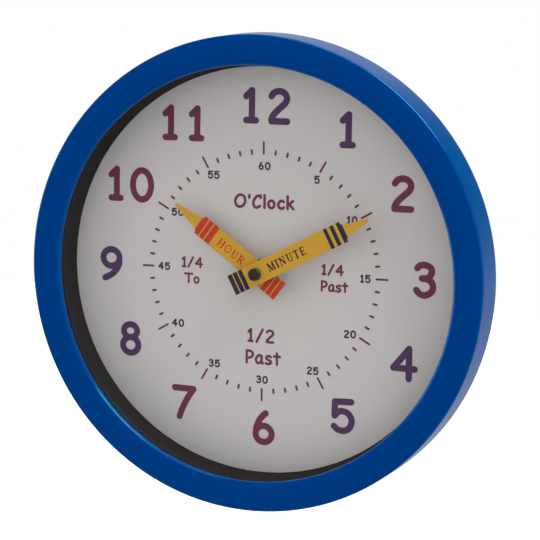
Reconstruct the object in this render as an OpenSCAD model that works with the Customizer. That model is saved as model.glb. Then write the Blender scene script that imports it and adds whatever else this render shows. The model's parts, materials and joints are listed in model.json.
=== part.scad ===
// Teaching wall clock with a geared quartz movement, in millimetres.
// The clock is drawn with its axis along Z and its back on the plane Z = 0, and place()
// then stands it up: it hangs on its keyhole, faces -Y and has 12 o'clock towards +Z.

/* [Frame] */
// Outer radius of the frame at its back edge
frame_r = 152.4; // [149:0.1:160]
// Radius that the side wall loses between its back and its front edge
frame_draft = 0.9; // [0.5:0.1:3]
// Wall thickness of the frame
frame_t = 2.4; // [1.8:0.1:3]
// Radius of the rounded front outer edge
edge_round = 1.5; // [0.8:0.1:2.2]
// Width of the face, from the frame's back edge in to the opening inside the lip
face_w = 20.1; // [19.4:0.1:24.4]
// Radius of the rounded lip
lip_round = 2.8; // [1.5:0.1:3.4]
// Height of the lip's inner edge above the dial
lip_h = 22; // [19.5:0.1:24]
// Straight height of the lip below its round
lip_t = 2.6; // [1:0.1:3]
// Height of the face's outer edge above the dial
face_h = 24.5; // [23.5:0.1:30]
// Bulge of the crowned face
face_crown = 0.55; // [0.1:0.05:0.8]
// Depth of the frame's back edge behind the dial's face
rim_drop = 4.1; // [3.5:0.1:4.6]
// Wall that the lens sits in
pocket_t = 1.8; // [1.2:0.1:2.4]
// Radius of the screw bosses
boss_r = 3.3; // [2.8:0.1:3.4]
// Thickness of the gussets between the bosses and the lens wall
gusset_t = 1.4; // [1:0.1:2]

/* [Lens, spacer and dial] */
// Width of the lip's seat over the lens
lens_seat = 2.8; // [2:0.1:3.2]
// Thickness of the lens
lens_t = 1.8; // [1:0.1:2.2]
// Distance that the spacer ring's foot stands in from the lip's opening
spacer_in = 1.2; // [0.5:0.1:5.3]
// Thickness of the spacer ring
spacer_t = 1.5; // [0.8:0.1:1.8]
// Gap of the seam where the spacer's ends meet
seam_w = 0.5; // [0.3:0.1:1]
// Place of the seam, in degrees clockwise from 12 o'clock
seam_angle = 184; // [160:1:200]
// Thickness of the dial card
dial_t = 0.4; // [0.3:0.1:1]

/* [Back shell] */
// Thickness of the plate that carries the dial
shell_t = 2.2; // [1.8:0.1:3]
// Thickness of the skirt that stands on the wall
skirt_t = 2.4; // [1.8:0.1:3]
// Radius that the skirt loses on its way to the wall
skirt_lean = 2.4; // [1:0.1:4]
// Number of radial ribs
rib_count = 12; // [8:2:16]
// Height of the ribs
rib_h = 5; // [3:0.5:7]
// Thickness of the ribs
rib_t = 1.6; // [1.2:0.1:2]
// Radius of the ring rib
ring_rib_r = 84; // [60:1:88]
// Number of frame screws
screw_count = 6; // [4:2:8]
// Distance from the flange's edge to the screws' axes
screw_edge = 3.4; // [3.2:0.1:3.8]
// Radius of a screw's shank
screw_r = 1.2; // [1:0.1:1.5]
// Length of a screw's shank
screw_len = 11; // [8:0.5:14]
// Radius of a screw's head
head_r = 2.7; // [2.2:0.1:2.9]
// Height of a screw's head
head_h = 1.6; // [1.2:0.1:1.8]

/* [Keyhole] */
// Distance from the frame's outer edge down to the centre of the keyhole's entry
key_drop = 46.4; // [42.4:0.5:50.4]
// Radius of the entry hole
entry_r = 5; // [4.5:0.1:5.5]
// Width of the slot
slot_w = 4.8; // [4.3:0.1:5]
// Distance from the entry's centre to the slot's end centre
slot_len = 12; // [10:0.5:14]
// Thickness of the keyhole plate
key_t = 2.4; // [2:0.1:3.2]
// Inner width of the pocket behind the plate
pocket_w = 22; // [16:0.5:26]
// Wall of the pocket
pocket_wall = 1.8; // [1.4:0.1:2.4]
// Reach of the plate below the entry and above the slot's end
key_margin = 9; // [7.5:0.5:10]

/* [Movement case] */
// Room for the bowed contact between the bay's end and the cell's flat end
spring_room = 2.9; // [2.9:0.1:4.9]
// Room for the plate contact between the cell's nub and the bay's other end
plate_room = 0.7; // [0.7:0.1:2.7]
// Air between the coil's flanges and the case wall
coil_gap = 0.5; // [0.4:0.05:0.6]
// Depth of the case
case_d = 16.2; // [16.2:0.1:18]
// Wall of the case
case_t = 1.2; // [1:0.1:1.2]
// Radius of the case's corners
case_round = 3; // [2:0.1:3.5]
// Thickness of the cover
cover_t = 1.2; // [0.9:0.1:1.2]
// Thickness of the middle plate
plate_t = 1; // [0.8:0.1:1.2]
// Thickness of the rubber washer
rubber_t = 0.8; // [0.5:0.1:1.2]
// Radius of the rubber washer
rubber_r = 10; // [7:0.5:14]
// Outer radius of the threaded bushing
bushing_r = 3.9; // [3.6:0.1:4.4]
// Radius of the bushing's flange inside the case wall
flange_ring_r = 5.2; // [4.8:0.1:6]
// Reach of the bushing past the nut
bushing_proud = 1; // [0.5:0.1:1.5]
// Thickness of the washer under the nut
washer_t = 0.7; // [0.4:0.1:1]
// Radius of that washer
washer_r = 8.2; // [7.5:0.1:10]
// Height of the nut
nut_h = 2; // [1.5:0.1:2.3]
// Size of the nut across its flats
nut_w = 12; // [10:0.5:14]
// Radius of the setting knob
knob_r = 4.6; // [3.5:0.1:6]
// Height of the setting knob
knob_h = 2.6; // [2:0.1:4]
// Air between the knob and the wall that the clock hangs on
knob_gap = 0.8; // [0.5:0.1:2]
// Number of grip notches in the knob
knob_grips = 14; // [10:1:18]

/* [Battery] */
// Radius of the cell
cell_r = 7.1; // [6.9:0.1:7.1]
// Length of the cell without its nub
cell_len = 48.8; // [47:0.1:49]
// Radius of the cell's nub
nub_r = 2.75; // [2:0.05:3]
// Length of the cell's nub
nub_len = 1.2; // [1:0.1:1.3]
// Width of the contact strips
strip_w = 1.7; // [1.2:0.1:2]
// Thickness of the contact sheet
strip_t = 0.4; // [0.3:0.05:0.4]

/* [Gear train] */
// Teeth of the rotor's pinion
rotor_teeth = 8; // [8:1:10]
// Teeth of the intermediate wheel
inter_teeth = 48; // [40:1:50]
// Leaves of the intermediate pinion
inter_leaves = 12; // [10:1:12]
// Teeth of the seconds wheel
seconds_teeth = 60; // [54:1:60]
// Leaves of the seconds pinion
seconds_leaves = 8; // [8:1:10]
// Teeth of the third wheel
third_teeth = 60; // [54:1:60]
// Leaves of the third pinion
third_leaves = 8; // [8:1:10]
// Teeth of the centre wheel
centre_teeth = 64; // [60:1:64]
// Teeth of the cannon pinion
cannon_teeth = 12; // [12:1:14]
// Teeth of the minute wheel
minute_teeth = 36; // [32:1:36]
// Leaves of the minute wheel's pinion
minute_leaves = 10; // [10:1:12]
// Teeth of the hour wheel
hour_teeth = 40; // [36:1:40]
// Distance from the clock's axis to the third wheel's
third_cd = 10.2; // [10.1:0.05:10.4]
// Direction of the third wheel's axis
third_dir = 20; // [16:1:24]
// Distance from the clock's axis to the intermediate wheel's
inter_cd = 10.1; // [10:0.05:10.2]
// Direction of the intermediate wheel's axis
inter_dir = 140; // [138:1:144]
// Distance from the intermediate axis to the rotor's
rotor_cd = 7; // [6.8:0.05:7.1]
// Direction of the rotor's axis from the intermediate axis
rotor_dir = 120; // [116:1:124]
// Distance from the clock's axis to the setting arbor's
motion_cd = 10.8; // [10.7:0.05:11]
// Thickness of the wheels
wheel_t = 0.9; // [0.7:0.05:0.95]
// Thickness of the motion wheels
motion_t = 1.2; // [0.9:0.05:1.2]
// Radius of the pivots
pivot_r = 0.5; // [0.35:0.05:0.55]
// Radius of the setting arbor
setting_r = 0.9; // [0.7:0.05:0.95]

/* [Motor] */
// Radius of the rotor's magnet
magnet_r = 3; // [2.5:0.1:3.2]
// Height of the rotor's magnet
magnet_h = 2; // [1.6:0.1:2.1]
// Radial air between the magnet and the stator
magnet_air = 0.4; // [0.3:0.05:0.5]
// Thickness of the stator sheet
stator_t = 0.8; // [0.6:0.1:0.9]
// Length of the coil bobbin
bobbin_len = 26; // [22:0.5:27]
// Radius of the bobbin's flanges
bobbin_r = 4.4; // [4.2:0.1:4.4]
// Radius of the winding
coil_r = 4; // [3:0.1:4.1]
// Width of the coil's iron core
core_w = 2.4; // [2:0.1:2.8]
// Thickness of the coil's iron core
core_t = 1.6; // [1.2:0.1:1.8]

/* [Hands] */
// Time shown by the hour hand, in degrees clockwise from 12 o'clock
hour_angle = 306.4; // [0:0.1:359.9]
// Time shown by the minute hand, in degrees clockwise from 12 o'clock
minute_angle = 62.7; // [0:0.1:359.9]
// Thickness of the hands
hand_t = 0.6; // [0.4:0.1:1]
// Width of the hour hand's body
hour_w = 13.6; // [12:0.1:15]
// Width of the minute hand's body
minute_w = 13.6; // [12:0.1:15]
// Reach of the hour hand's point
hour_len = 71; // [68:0.5:74]
// Reach of the minute hand's point
minute_len = 83.5; // [80:0.5:86]
// Length of the hour hand's point
hour_point = 20.4; // [14:0.2:24]
// Length of the minute hand's point
minute_point = 16.6; // [14:0.2:24]
// Tail of the hour hand behind the axis
hour_tail = 18.5; // [12:0.1:22]
// Tail of the minute hand behind the axis
minute_tail = 17.9; // [12:0.1:22]
// Width of the point where it leaves the body
point_w = 8.4; // [6:0.1:9.4]
// Width of the collar between point and body
collar_w = 9.8; // [9.4:0.1:11]
// Length of the collar
collar_len = 1; // [0.6:0.1:2]
// Radius of the rounded tips
tip_r = 1.1; // [0.6:0.1:1.6]
// Height of the hour hand's back above the dial
hour_h = 7; // [6.6:0.1:8]
// Height of the minute hand's back above the dial
minute_h = 11.4; // [10:0.1:11.8]
// Radius of the cap that holds the minute hand
cap_r = 4; // [3:0.1:5]
// Height of the cap
cap_h = 3.2; // [2.9:0.1:3.6]
// Radius of the hour pipe
pipe_r = 2.5; // [2.4:0.05:2.6]
// Radius of the minute arbor
arbor_r = 1.6; // [1.5:0.05:1.65]
// Radius of the minute arbor's end
stud_r = 1.2; // [1:0.05:1.3]
// Distance between the flats of the minute arbor's end
stud_flats = 1.9; // [1.6:0.05:2.1]
// Length of the minute arbor's end in front of the hand
stud_len = 2.1; // [1.6:0.1:2.3]

/* [Clearances] */
// Gap between parts that are pressed or dropped into each other
fit = 0.3; // [0.2:0.05:0.35]
// Radial gap of a turning shaft
running = 0.07; // [0.04:0.01:0.09]
// Radial gap of a fixed shaft or a thread
snug = 0.02; // [0.01:0.01:0.03]
// Air along the axis beside turning parts
end_play = 0.1; // [0.06:0.01:0.12]

/* [Hidden] */
$fn = 96;
small = 32;
big = 180;
over = 1;

// Heights along the clock's axis, from the wall forwards
case_back = knob_gap + knob_h;
case_front = case_back + case_d;
shell_back = case_front + rubber_t;
shell_front = shell_back + shell_t;
dial_z = shell_front + dial_t;
rim_z = dial_z - rim_drop;
lip_z = dial_z + lip_h;
front_z = dial_z + face_h;
lens_front = lip_z - lip_t;
lens_back = lens_front - lens_t;
hour_z = dial_z + hour_h;
minute_z = dial_z + minute_h;

// Radii of the frame and of what fits in it
lip_r = frame_r - face_w;
spacer_r = lip_r - spacer_in;
key_y = frame_r - key_drop;
pocket_r = lip_r + lens_seat;
lens_r = pocket_r - fit;
edge_c = frame_r - frame_draft - edge_round;
lip_c = lip_r + lip_round;
face_in = lip_z + lip_round;
wall_slope = frame_draft / (front_z - edge_round - rim_z);
function wall_in(z) = frame_r - frame_t - wall_slope * (z - rim_z);
flange_r = wall_in(shell_front) - fit;
screw_ring = flange_r - screw_edge;
skirt_gap = 1.6;
skirt_top = screw_ring - head_r - skirt_gap;
skirt_foot = skirt_top - skirt_lean;

// Inner heights of the movement, all from the cover's inside or the front wall's
cover_in = case_back + cover_t;
front_in = case_front - case_t;
layer_gap = 0.65;
seat_h = 0.7;
seconds_z = cover_in + 1;
inter_z = seconds_z + wheel_t + layer_gap;
third_z = inter_z + wheel_t + layer_gap - 0.2;
magnet_z = inter_z + wheel_t + 2 * end_play;
stator_z = magnet_z + magnet_h / 2 - stator_t / 2;
plate_z = third_z + wheel_t + 1.6;
plate_top = plate_z + plate_t;
boss_h = 0.5;
centre_z = plate_top + 1;
spring_h = 0.6;
cannon_z = centre_z + wheel_t + end_play + spring_h + end_play;
cannon_h = 1.4;
minute_wheel_z = cannon_z + end_play;
hour_wheel_z = cannon_z + cannon_h + 0.5;
pinion_reach = 0.1;

// Axes of the gear train
function polar(r, a) = [r * cos(a), r * sin(a)];
third_at = polar(third_cd, third_dir);
inter_at = polar(inter_cd, inter_dir);
rotor_at = inter_at + polar(rotor_cd, rotor_dir);
setting_at = [0, motion_cd];

// Tooth sizes follow from the distance of the axes and the two numbers of teeth
function module_of(cd, a, b) = 2 * cd / (a + b);
rotor_m = module_of(rotor_cd, rotor_teeth, inter_teeth);
inter_m = module_of(inter_cd, inter_leaves, seconds_teeth);
seconds_m = module_of(third_cd, seconds_leaves, third_teeth);
centre_m = module_of(third_cd, third_leaves, centre_teeth);
cannon_m = module_of(motion_cd, cannon_teeth, minute_teeth);
hour_m = module_of(motion_cd, minute_leaves, hour_teeth);

// Angle of the driven wheel that puts one of its gaps on the driver's tooth: the driver has
// a tooth at angle a0 and lies at direction dir - 180 from the driven wheel
function mesh_angle(a0, driver, driven, dir) =
  dir + 180 - (a0 - dir) * driver / driven + 180 / driven;
inter_phase = mesh_angle(0, rotor_teeth, inter_teeth, rotor_dir + 180);
seconds_phase = mesh_angle(0, inter_leaves, seconds_teeth, inter_dir + 180);
third_phase = mesh_angle(0, seconds_leaves, third_teeth, third_dir);
centre_phase = mesh_angle(0, third_leaves, centre_teeth, third_dir + 180);
minute_phase = mesh_angle(0, cannon_teeth, minute_teeth, 90);
hour_phase = mesh_angle(0, minute_leaves, hour_teeth, 270);

// The case is as wide as its battery bay, or as the coil beyond the stator asks
stator_wall = 1.6;
stator_hub = magnet_r + magnet_air + stator_wall;
inside_w = max(spring_room + cell_len + nub_len + plate_room,
  2 * (rotor_at[1] + stator_hub + fit + coil_r + bobbin_r + coil_gap));
case_w = inside_w + 2 * case_t;

// Battery bay below the gears
bay_wall = 1;
cell_gap = 0.9;
cell_y = -inside_w / 2 + cell_gap + cell_r;
bay_top = cell_y + cell_r + fit;
cell_z = front_in - 0.2 - cell_r;
cell_x0 = -inside_w / 2 + spring_room;
strip_z = inter_z + wheel_t + 0.1;
slot_end = 0.8;

// Circuit board and coil in the top of the case
board_t = 0.8;
board_size = [10.2, 12];
board_at = [inside_w / 2 - 1 - board_size[0], inside_w / 2 - 0.6 - board_size[1]];
board_z = strip_z - board_t;
coil_y = inside_w / 2 - coil_gap - bobbin_r;
coil_x = -4;
core_z = stator_z + stator_t;
coil_z = core_z + core_t / 2;
core_over = 4.5;
core_len = bobbin_len + 2 * core_over;
bobbin_t = 0.8;
arm_w = 2.8;
arm_gap = 3.2;
notch_r = 0.9;

// Stands the clock up: its front faces -Y and the keyhole's entry is the origin
module place() {
  rotate([90, 0, 0]) translate([0, -key_y, 0]) children();
}

// Points of a round corner from angle a to angle b
function arc(c, r, a, b, n = 8) =
  [for (i = [0:n]) c + r * [cos(a + (b - a) * i / n), sin(a + (b - a) * i / n)]];

// A rectangle with true round corners
module rounded_rect(w, h, r) {
  square([w - 2 * r, h], center = true);
  square([w, h - 2 * r], center = true);
  for (x = [-1, 1], y = [-1, 1])
    translate([x * (w / 2 - r), y * (h / 2 - r)]) circle(r, $fn = small);
}

// A cylinder from height z0 to height z1
module rod(r, z0, z1, fn = small) {
  translate([0, 0, z0]) cylinder(r = r, h = z1 - z0, $fn = fn);
}

// A ring from height z0 to height z1
module ring(outer, inner, z0, z1, fn = small) {
  difference() {
    rod(outer, z0, z1, fn);
    rod(inner, z0 - over, z1 + over, fn);
  }
}

// A box between two corners
module block(a, b) {
  translate(a) cube(b - a);
}

// Outline of one tooth as radius and share of the tooth's pitch. Wheels have tall slim
// teeth with wide roots, pinions short leaves with nearly radial sides
function tooth(m, r, leaf) = leaf
  ? [[r - 1.25 * m, -0.21], [r, -0.19], [r + 0.8 * m, -0.08],
     [r + 0.8 * m, 0.08], [r, 0.19], [r - 1.25 * m, 0.21]]
  : [[r - 1.2 * m, -0.25], [r, -0.19], [r + m, -0.07],
     [r + m, 0.07], [r, 0.19], [r - 1.2 * m, 0.25]];

// A toothed disc of module m, with a tooth at the angle phase
module toothed(teeth, m, z0, h, phase = 0, leaf = false) {
  r = m * teeth / 2;
  translate([0, 0, z0]) linear_extrude(h) rotate(phase)
    polygon([for (k = [0:teeth - 1], p = tooth(m, r, leaf)) polar(p[0], (k + p[1]) * 360 / teeth)]);
}

// A thin wheel with a ring of round holes between its hub and its teeth
module pierced_wheel(teeth, m, z0, h, phase, hub) {
  rim = m * teeth / 2 - 2.4 * m;
  hole_r = (rim - hub) * 0.42;
  difference() {
    toothed(teeth, m, z0, h, phase);
    for (k = [0:4]) rotate(phase + 36 + 72 * k) translate([(rim + hub) / 2, 0, 0])
      rod(hole_r, z0 - over, z0 + h + over);
  }
}

// Every screw's place on the frame
module at_screws() {
  for (k = [0:screw_count - 1]) rotate(k * 360 / screw_count) translate([screw_ring, 0, 0]) children();
}

// Section of the frame from its axis outwards
module frame_section() {
  crown = [for (i = [1:9]) let (t = i / 10)
    [edge_c + (lip_c - edge_c) * t, front_z + (face_in - front_z) * t + 4 * face_crown * t * (1 - t)]];
  under_r = pocket_r + pocket_t;
  polygon(concat(
    [[frame_r, rim_z]],
    arc([edge_c, front_z - edge_round], edge_round, 0, 90),
    crown,
    arc([lip_c, lip_z], lip_round, 90, 180),
    [[lip_r, lens_front], [pocket_r, lens_front], [pocket_r, dial_z + fit], [under_r, dial_z + fit]],
    arc([under_r + over, face_in - frame_t - over], over, 180, 90, 4),
    arc([wall_in(front_z - frame_t) - over, front_z - frame_t - over], over, 90, 0, 4),
    [[frame_r - frame_t, rim_z]]));
}

module frame() {
  boss_top = front_z - frame_t + over;
  gusset_z = dial_z + lip_h / 2;
  color([0.004, 0.24, 0.51]) place() difference() {
    union() {
      rotate_extrude($fn = big) frame_section();
      at_screws() rod(boss_r, shell_front, boss_top);
      for (k = [0:screw_count - 1]) rotate(k * 360 / screw_count)
        block([pocket_r + pocket_t / 2, -gusset_t / 2, gusset_z],
          [screw_ring, gusset_t / 2, face_in - frame_t + over]);
    }
    at_screws() rod(screw_r + snug, shell_front - over, shell_front + screw_len, small);
  }
}

module lens() {
  color([0.85, 0.9, 0.95, 0.3]) place() rod(lens_r, lens_back, lens_front, big);
}

// A strip rolled to a cone that widens towards the lens, open at its seam
module spacer_ring() {
  top_r = lens_r - spacer_t;
  color([0.12, 0.11, 0.11]) place() difference() {
    rotate_extrude($fn = big)
      polygon([[spacer_r, dial_z], [spacer_r + spacer_t, dial_z],
        [top_r + spacer_t, lens_back], [top_r, lens_back]]);
    rotate(90 - seam_angle)
      block([spacer_r - over, -seam_w / 2, dial_z - over], [lens_r + over, seam_w / 2, lens_back + over]);
  }
}

module dial() {
  color([0.93, 0.92, 0.9]) place()
    ring(lens_r, bushing_r + fit, shell_front, dial_z, big);
}

// The hollow block that holds the nail's head, open towards the clock's middle
module key_block() {
  outer = pocket_w / 2 + pocket_wall;
  low = key_y - entry_r - key_margin / 2;
  high = key_y + slot_len + key_margin;
  block([-outer, low, 0], [outer, high, key_t]);
  for (x = [-outer, pocket_w / 2])
    block([x, low, 0], [x + pocket_wall, high, shell_back + over]);
  block([-outer, high - pocket_wall, 0], [outer, high, shell_back + over]);
}

// The hole that the nail's head enters and the slot that it slides up
module key_cut() {
  translate([0, key_y, 0]) {
    rod(entry_r, -over, key_t + over, $fn);
    translate([0, slot_len, 0]) rod(slot_w / 2, -over, key_t + over, $fn);
    block([-slot_w / 2, 0, -over], [slot_w / 2, slot_len, key_t + over]);
  }
}

module back_shell() {
  cup = case_w + 2 * fit;
  cup_wall = 1.6;
  rib_in = (cup / 2 + cup_wall) * sqrt(2) + 2;
  color([0.1, 0.1, 0.11]) place() difference() {
    union() {
      rod(flange_r, shell_back, shell_front, big);
      rotate_extrude($fn = big)
        polygon([[skirt_foot - skirt_t, 0], [skirt_foot, 0],
          [skirt_top, shell_back + over], [skirt_top - skirt_t, shell_back + over]]);
      for (k = [0:rib_count - 1]) rotate((k + 0.5) * 360 / rib_count)
        block([rib_in, -rib_t / 2, shell_back - rib_h],
          [skirt_top - skirt_t / 2 - skirt_lean / 3, rib_t / 2, shell_back + over]);
      ring(ring_rib_r + rib_t, ring_rib_r, shell_back - rib_h, shell_back + over, big);
      translate([0, 0, shell_back - rib_h]) linear_extrude(rib_h + over) difference() {
        rounded_rect(cup + 2 * cup_wall, cup + 2 * cup_wall, case_round + cup_wall);
        rounded_rect(cup, cup, case_round + fit);
      }
      key_block();
    }
    key_cut();
    rod(bushing_r + fit, shell_back - over, shell_front + over);
    at_screws() rod(screw_r + fit, shell_back - over, shell_front + over);
  }
}

module frame_screws() {
  slot = 0.7;
  color([0.55, 0.55, 0.57]) place() at_screws() difference() {
    union() {
      rod(screw_r, shell_back - head_h / 2, shell_front + screw_len - 1.5);
      translate([0, 0, shell_front + screw_len - 1.5])
        cylinder(r1 = screw_r, r2 = 0.3, h = 1.5 - fit, $fn = small);
      rod(head_r, shell_back - head_h * 0.6, shell_back);
      translate([0, 0, shell_back - head_h])
        cylinder(r1 = head_r * 0.7, r2 = head_r, h = head_h * 0.4, $fn = small);
    }
    for (a = [0, 90]) rotate(a)
      block([-head_r * 0.6, -slot / 2, shell_back - head_h - over],
        [head_r * 0.6, slot / 2, shell_back - head_h * 0.45]);
  }
}

// Edges of the middle plate and places of the posts that carry it
plate_x = inside_w / 2 - 2.8;
plate_low = -9.6;
plate_high = 15.4;
post_in = 1.8;
post_low = -7;
post_high = 13;
plate_posts = [for (x = [-1, 1], y = [post_low, post_high]) [x * (plate_x - post_in), y]];
plate_post_r = 1.6;
pin_r = 0.8;

module movement_case() {
  root = front_in + case_t / 2;
  color([0.14, 0.14, 0.15]) place() {
    difference() {
      translate([0, 0, case_back]) linear_extrude(case_d) rounded_rect(case_w, case_w, case_round);
      translate([0, 0, case_back - over]) linear_extrude(case_d - case_t + over)
        rounded_rect(inside_w, inside_w, case_round - case_t);
      rod(bushing_r + snug, front_in - over, case_front + over);
      rod(flange_ring_r + snug, front_in - over, front_in + case_t * 0.6);
      for (p = [setting_at, third_at]) translate(p) rod(pivot_r + running, front_in - over, front_in + 0.8);
    }
    block([slot_end - inside_w / 2, bay_top, case_back],
      [inside_w / 2 - slot_end, bay_top + bay_wall, root]);
    for (p = plate_posts) translate(p) {
      rod(plate_post_r, plate_top, root);
      rod(pin_r, plate_z, plate_top);
    }
    for (x = [-1, 1]) translate([coil_x + x * (core_len / 2 - 1.8), coil_y, 0])
      rod(1.4, core_z + core_t, root);
    for (p = [[2.4, 9.4], [8.2, 6.4]]) translate(board_at + p) rod(1.2, board_z + board_t, root);
  }
}

// Bearing cups of the arbors that end at the cover
cover_pivots = [[0, 0], third_at, inter_at, rotor_at];
cup_r = 1.3;

module movement_cover() {
  low = bay_top + bay_wall + fit / 3;
  high = inside_w / 2 - fit / 3;
  color([0.17, 0.17, 0.18]) place() difference() {
    union() {
      translate([0, (low + high) / 2, case_back]) linear_extrude(cover_t)
        rounded_rect(2 * high, high - low, 1.5);
      for (p = cover_pivots) translate(p) rod(cup_r, cover_in, cover_in + seat_h);
      for (x = [-1, 1]) translate([x * 18, low + 0.5, 0])
        block([-3, 0, cover_in], [3, 1, cover_in + 2]);
    }
    for (p = cover_pivots) translate(p)
      rod(pivot_r + running, cover_in - 0.5, cover_in + seat_h + over);
    translate(setting_at) rod(setting_r + running, case_back - over, cover_in + over);
  }
}

module middle_plate() {
  color([0.75, 0.74, 0.7]) place() difference() {
    union() {
      translate([0, (plate_low + plate_high) / 2, plate_z]) linear_extrude(plate_t)
        rounded_rect(2 * plate_x, plate_high - plate_low, 2);
      rod(2, plate_z - boss_h, plate_top + boss_h);
    }
    for (p = plate_posts) translate(p) rod(pin_r + snug, plate_z - over, plate_top + over);
    rod(pivot_r + running, plate_z - boss_h - over, plate_z + plate_t * 0.3);
    rod(pivot_r + running, plate_top - plate_t * 0.3, plate_top + boss_h + over);
    for (p = [inter_at, rotor_at]) translate(p) rod(pivot_r + running, plate_z - over, plate_top + over);
    translate(third_at) rod(pivot_r + 0.2 + running, plate_z - over, plate_top + over);
    translate(setting_at) rod(setting_r + running, plate_z - over, plate_top + over);
  }
}

module threaded_bushing() {
  top = dial_z + washer_t + nut_h + bushing_proud;
  color([0.75, 0.6, 0.3]) place() difference() {
    union() {
      rod(bushing_r, front_in, top);
      rod(flange_ring_r, front_in, front_in + case_t * 0.6);
    }
    rod(pipe_r + running, front_in - over, top + over);
  }
}

module mounting_nut() {
  across = nut_w / sqrt(3);
  z0 = dial_z + washer_t;
  color([0.15, 0.14, 0.14]) place() difference() {
    intersection() {
      translate([0, 0, z0]) cylinder(r = across, h = nut_h, $fn = 6);
      translate([0, 0, z0]) cylinder(r1 = across + nut_h, r2 = across - nut_h * 0.25, h = nut_h);
    }
    rod(bushing_r + snug, z0 - over, z0 + nut_h + over);
  }
}

module nut_washer() {
  color([0.1, 0.1, 0.1]) place() ring(washer_r, bushing_r + fit / 2, dial_z, dial_z + washer_t, $fn);
}

module rubber_washer() {
  color([0.08, 0.08, 0.08]) place() ring(rubber_r, bushing_r + fit / 2, case_front, shell_back, $fn);
}

// The cell lies across the bay with its nub towards +X
module battery_cell() {
  edge = 0.5;
  color([0.2, 0.2, 0.22]) place() translate([cell_x0, cell_y, cell_z]) rotate([0, 90, 0]) {
    cylinder(r1 = cell_r - edge, r2 = cell_r, h = edge);
    translate([0, 0, edge]) cylinder(r = cell_r, h = cell_len - 2 * edge);
    translate([0, 0, cell_len - edge]) cylinder(r1 = cell_r, r2 = cell_r - edge, h = edge);
    translate([0, 0, cell_len - over]) cylinder(r = nub_r, h = nub_len + over, $fn = small);
  }
}

// End plates of the battery bay: 0.05 mm of air keeps them off the case wall
contact_x = inside_w / 2 - 0.05;
contact_h = 11;

// A stamped plate at one end of the bay, with a strip that climbs past the bay's wall
module contact_plate(side, climb) {
  x0 = side > 0 ? contact_x - strip_t : -contact_x;
  block([x0, cell_y - 5, cell_z - contact_h / 2], [x0 + strip_t, cell_y + 5, cell_z + contact_h / 2]);
  block([x0, cell_y + 4, strip_z], [x0 + strip_t, climb, strip_z + strip_w]);
}

module contact_positive() {
  tab_y = board_at[1] + 1;
  color([0.7, 0.68, 0.6]) place() {
    contact_plate(1, tab_y + strip_w);
    block([contact_x - 2.4, tab_y, strip_z], [contact_x, tab_y + strip_w, strip_z + strip_t]);
  }
}

// The leaf that presses on the cell's flat end is a bowed strip
module contact_negative() {
  bow_r = 8;
  bow_half = 38;
  reach = cell_x0 - 0.2;
  run_y = bay_top + bay_wall + 0.2;
  run_x = board_at[0] + 7;
  tab_y = board_at[1] + 0.6;
  color([0.7, 0.68, 0.6]) place() {
    contact_plate(-1, run_y + strip_t);
    translate([0, 0, cell_z - contact_h * 0.3]) linear_extrude(contact_h * 0.6) polygon(concat(
      arc([reach - bow_r, cell_y], bow_r, -bow_half, bow_half, 12),
      arc([reach - bow_r, cell_y], bow_r - strip_t, bow_half, -bow_half, 12)));
    block([-contact_x, run_y, strip_z], [run_x, run_y + strip_t, strip_z + strip_w]);
    block([run_x - strip_t, run_y, strip_z], [run_x, tab_y + strip_w, strip_z + strip_w]);
    block([run_x - 1.6, tab_y, strip_z], [run_x, tab_y + strip_w, strip_z + strip_t]);
  }
}

// The board carries the sealed chip under a round drop of resin
module circuit_board() {
  color([0.1, 0.3, 0.16]) place() {
    block(concat(board_at, board_z), concat(board_at + board_size, board_z + board_t));
    translate([board_at[0] + 6.6, board_at[1] + 9.2, 0]) {
      rod(1.6, board_z - 0.5, board_z);
      translate([0, 0, board_z - 0.9]) cylinder(r1 = 0.9, r2 = 1.6, h = 0.4, $fn = small);
    }
  }
}

module quartz_crystal() {
  can_r = 1;
  color([0.7, 0.7, 0.72]) place()
    translate([board_at[0] + 2.6, board_at[1] + 3.4, board_z - can_r]) rotate([-90, 0, 0]) {
      cylinder(r = can_r, h = 5.2, $fn = small);
      translate([0, 0, -0.5]) cylinder(r = can_r * 0.8, h = 0.5, $fn = small);
    }
}

// Turns the coil's own axis to lie along X at the coil's place
module at_coil() {
  translate([coil_x, coil_y, coil_z]) rotate([0, 90, 0]) children();
}

module core_bar(gap) {
  block([-core_len / 2 - gap, -core_w / 2 - gap, -core_t / 2 - gap],
    [core_len / 2 + gap, core_w / 2 + gap, core_t / 2 + gap]);
}

module coil_bobbin() {
  tube_r = sqrt(pow(core_w, 2) + pow(core_t, 2)) / 2 + 0.5;
  color([0.85, 0.83, 0.75]) place() difference() {
    at_coil() {
      rod(tube_r, -bobbin_len / 2, bobbin_len / 2);
      for (z = [-bobbin_len / 2, bobbin_len / 2 - bobbin_t]) rod(bobbin_r, z, z + bobbin_t);
    }
    translate([coil_x, coil_y, coil_z]) core_bar(snug);
  }
}

module coil_winding() {
  tube_r = sqrt(pow(core_w, 2) + pow(core_t, 2)) / 2 + 0.5;
  half = bobbin_len / 2 - bobbin_t - 0.1;
  color([0.72, 0.36, 0.16]) place() at_coil() ring(coil_r, tube_r + snug, -half, half);
}

module coil_core() {
  color([0.5, 0.5, 0.52]) place() translate([coil_x, coil_y, coil_z]) core_bar(0);
}

// A sheet arm between two points
module arm(a, b, w) {
  d = b - a;
  translate(a) rotate(atan2(d[1], d[0])) translate([0, -w / 2]) square([norm(d), w]);
}

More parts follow.
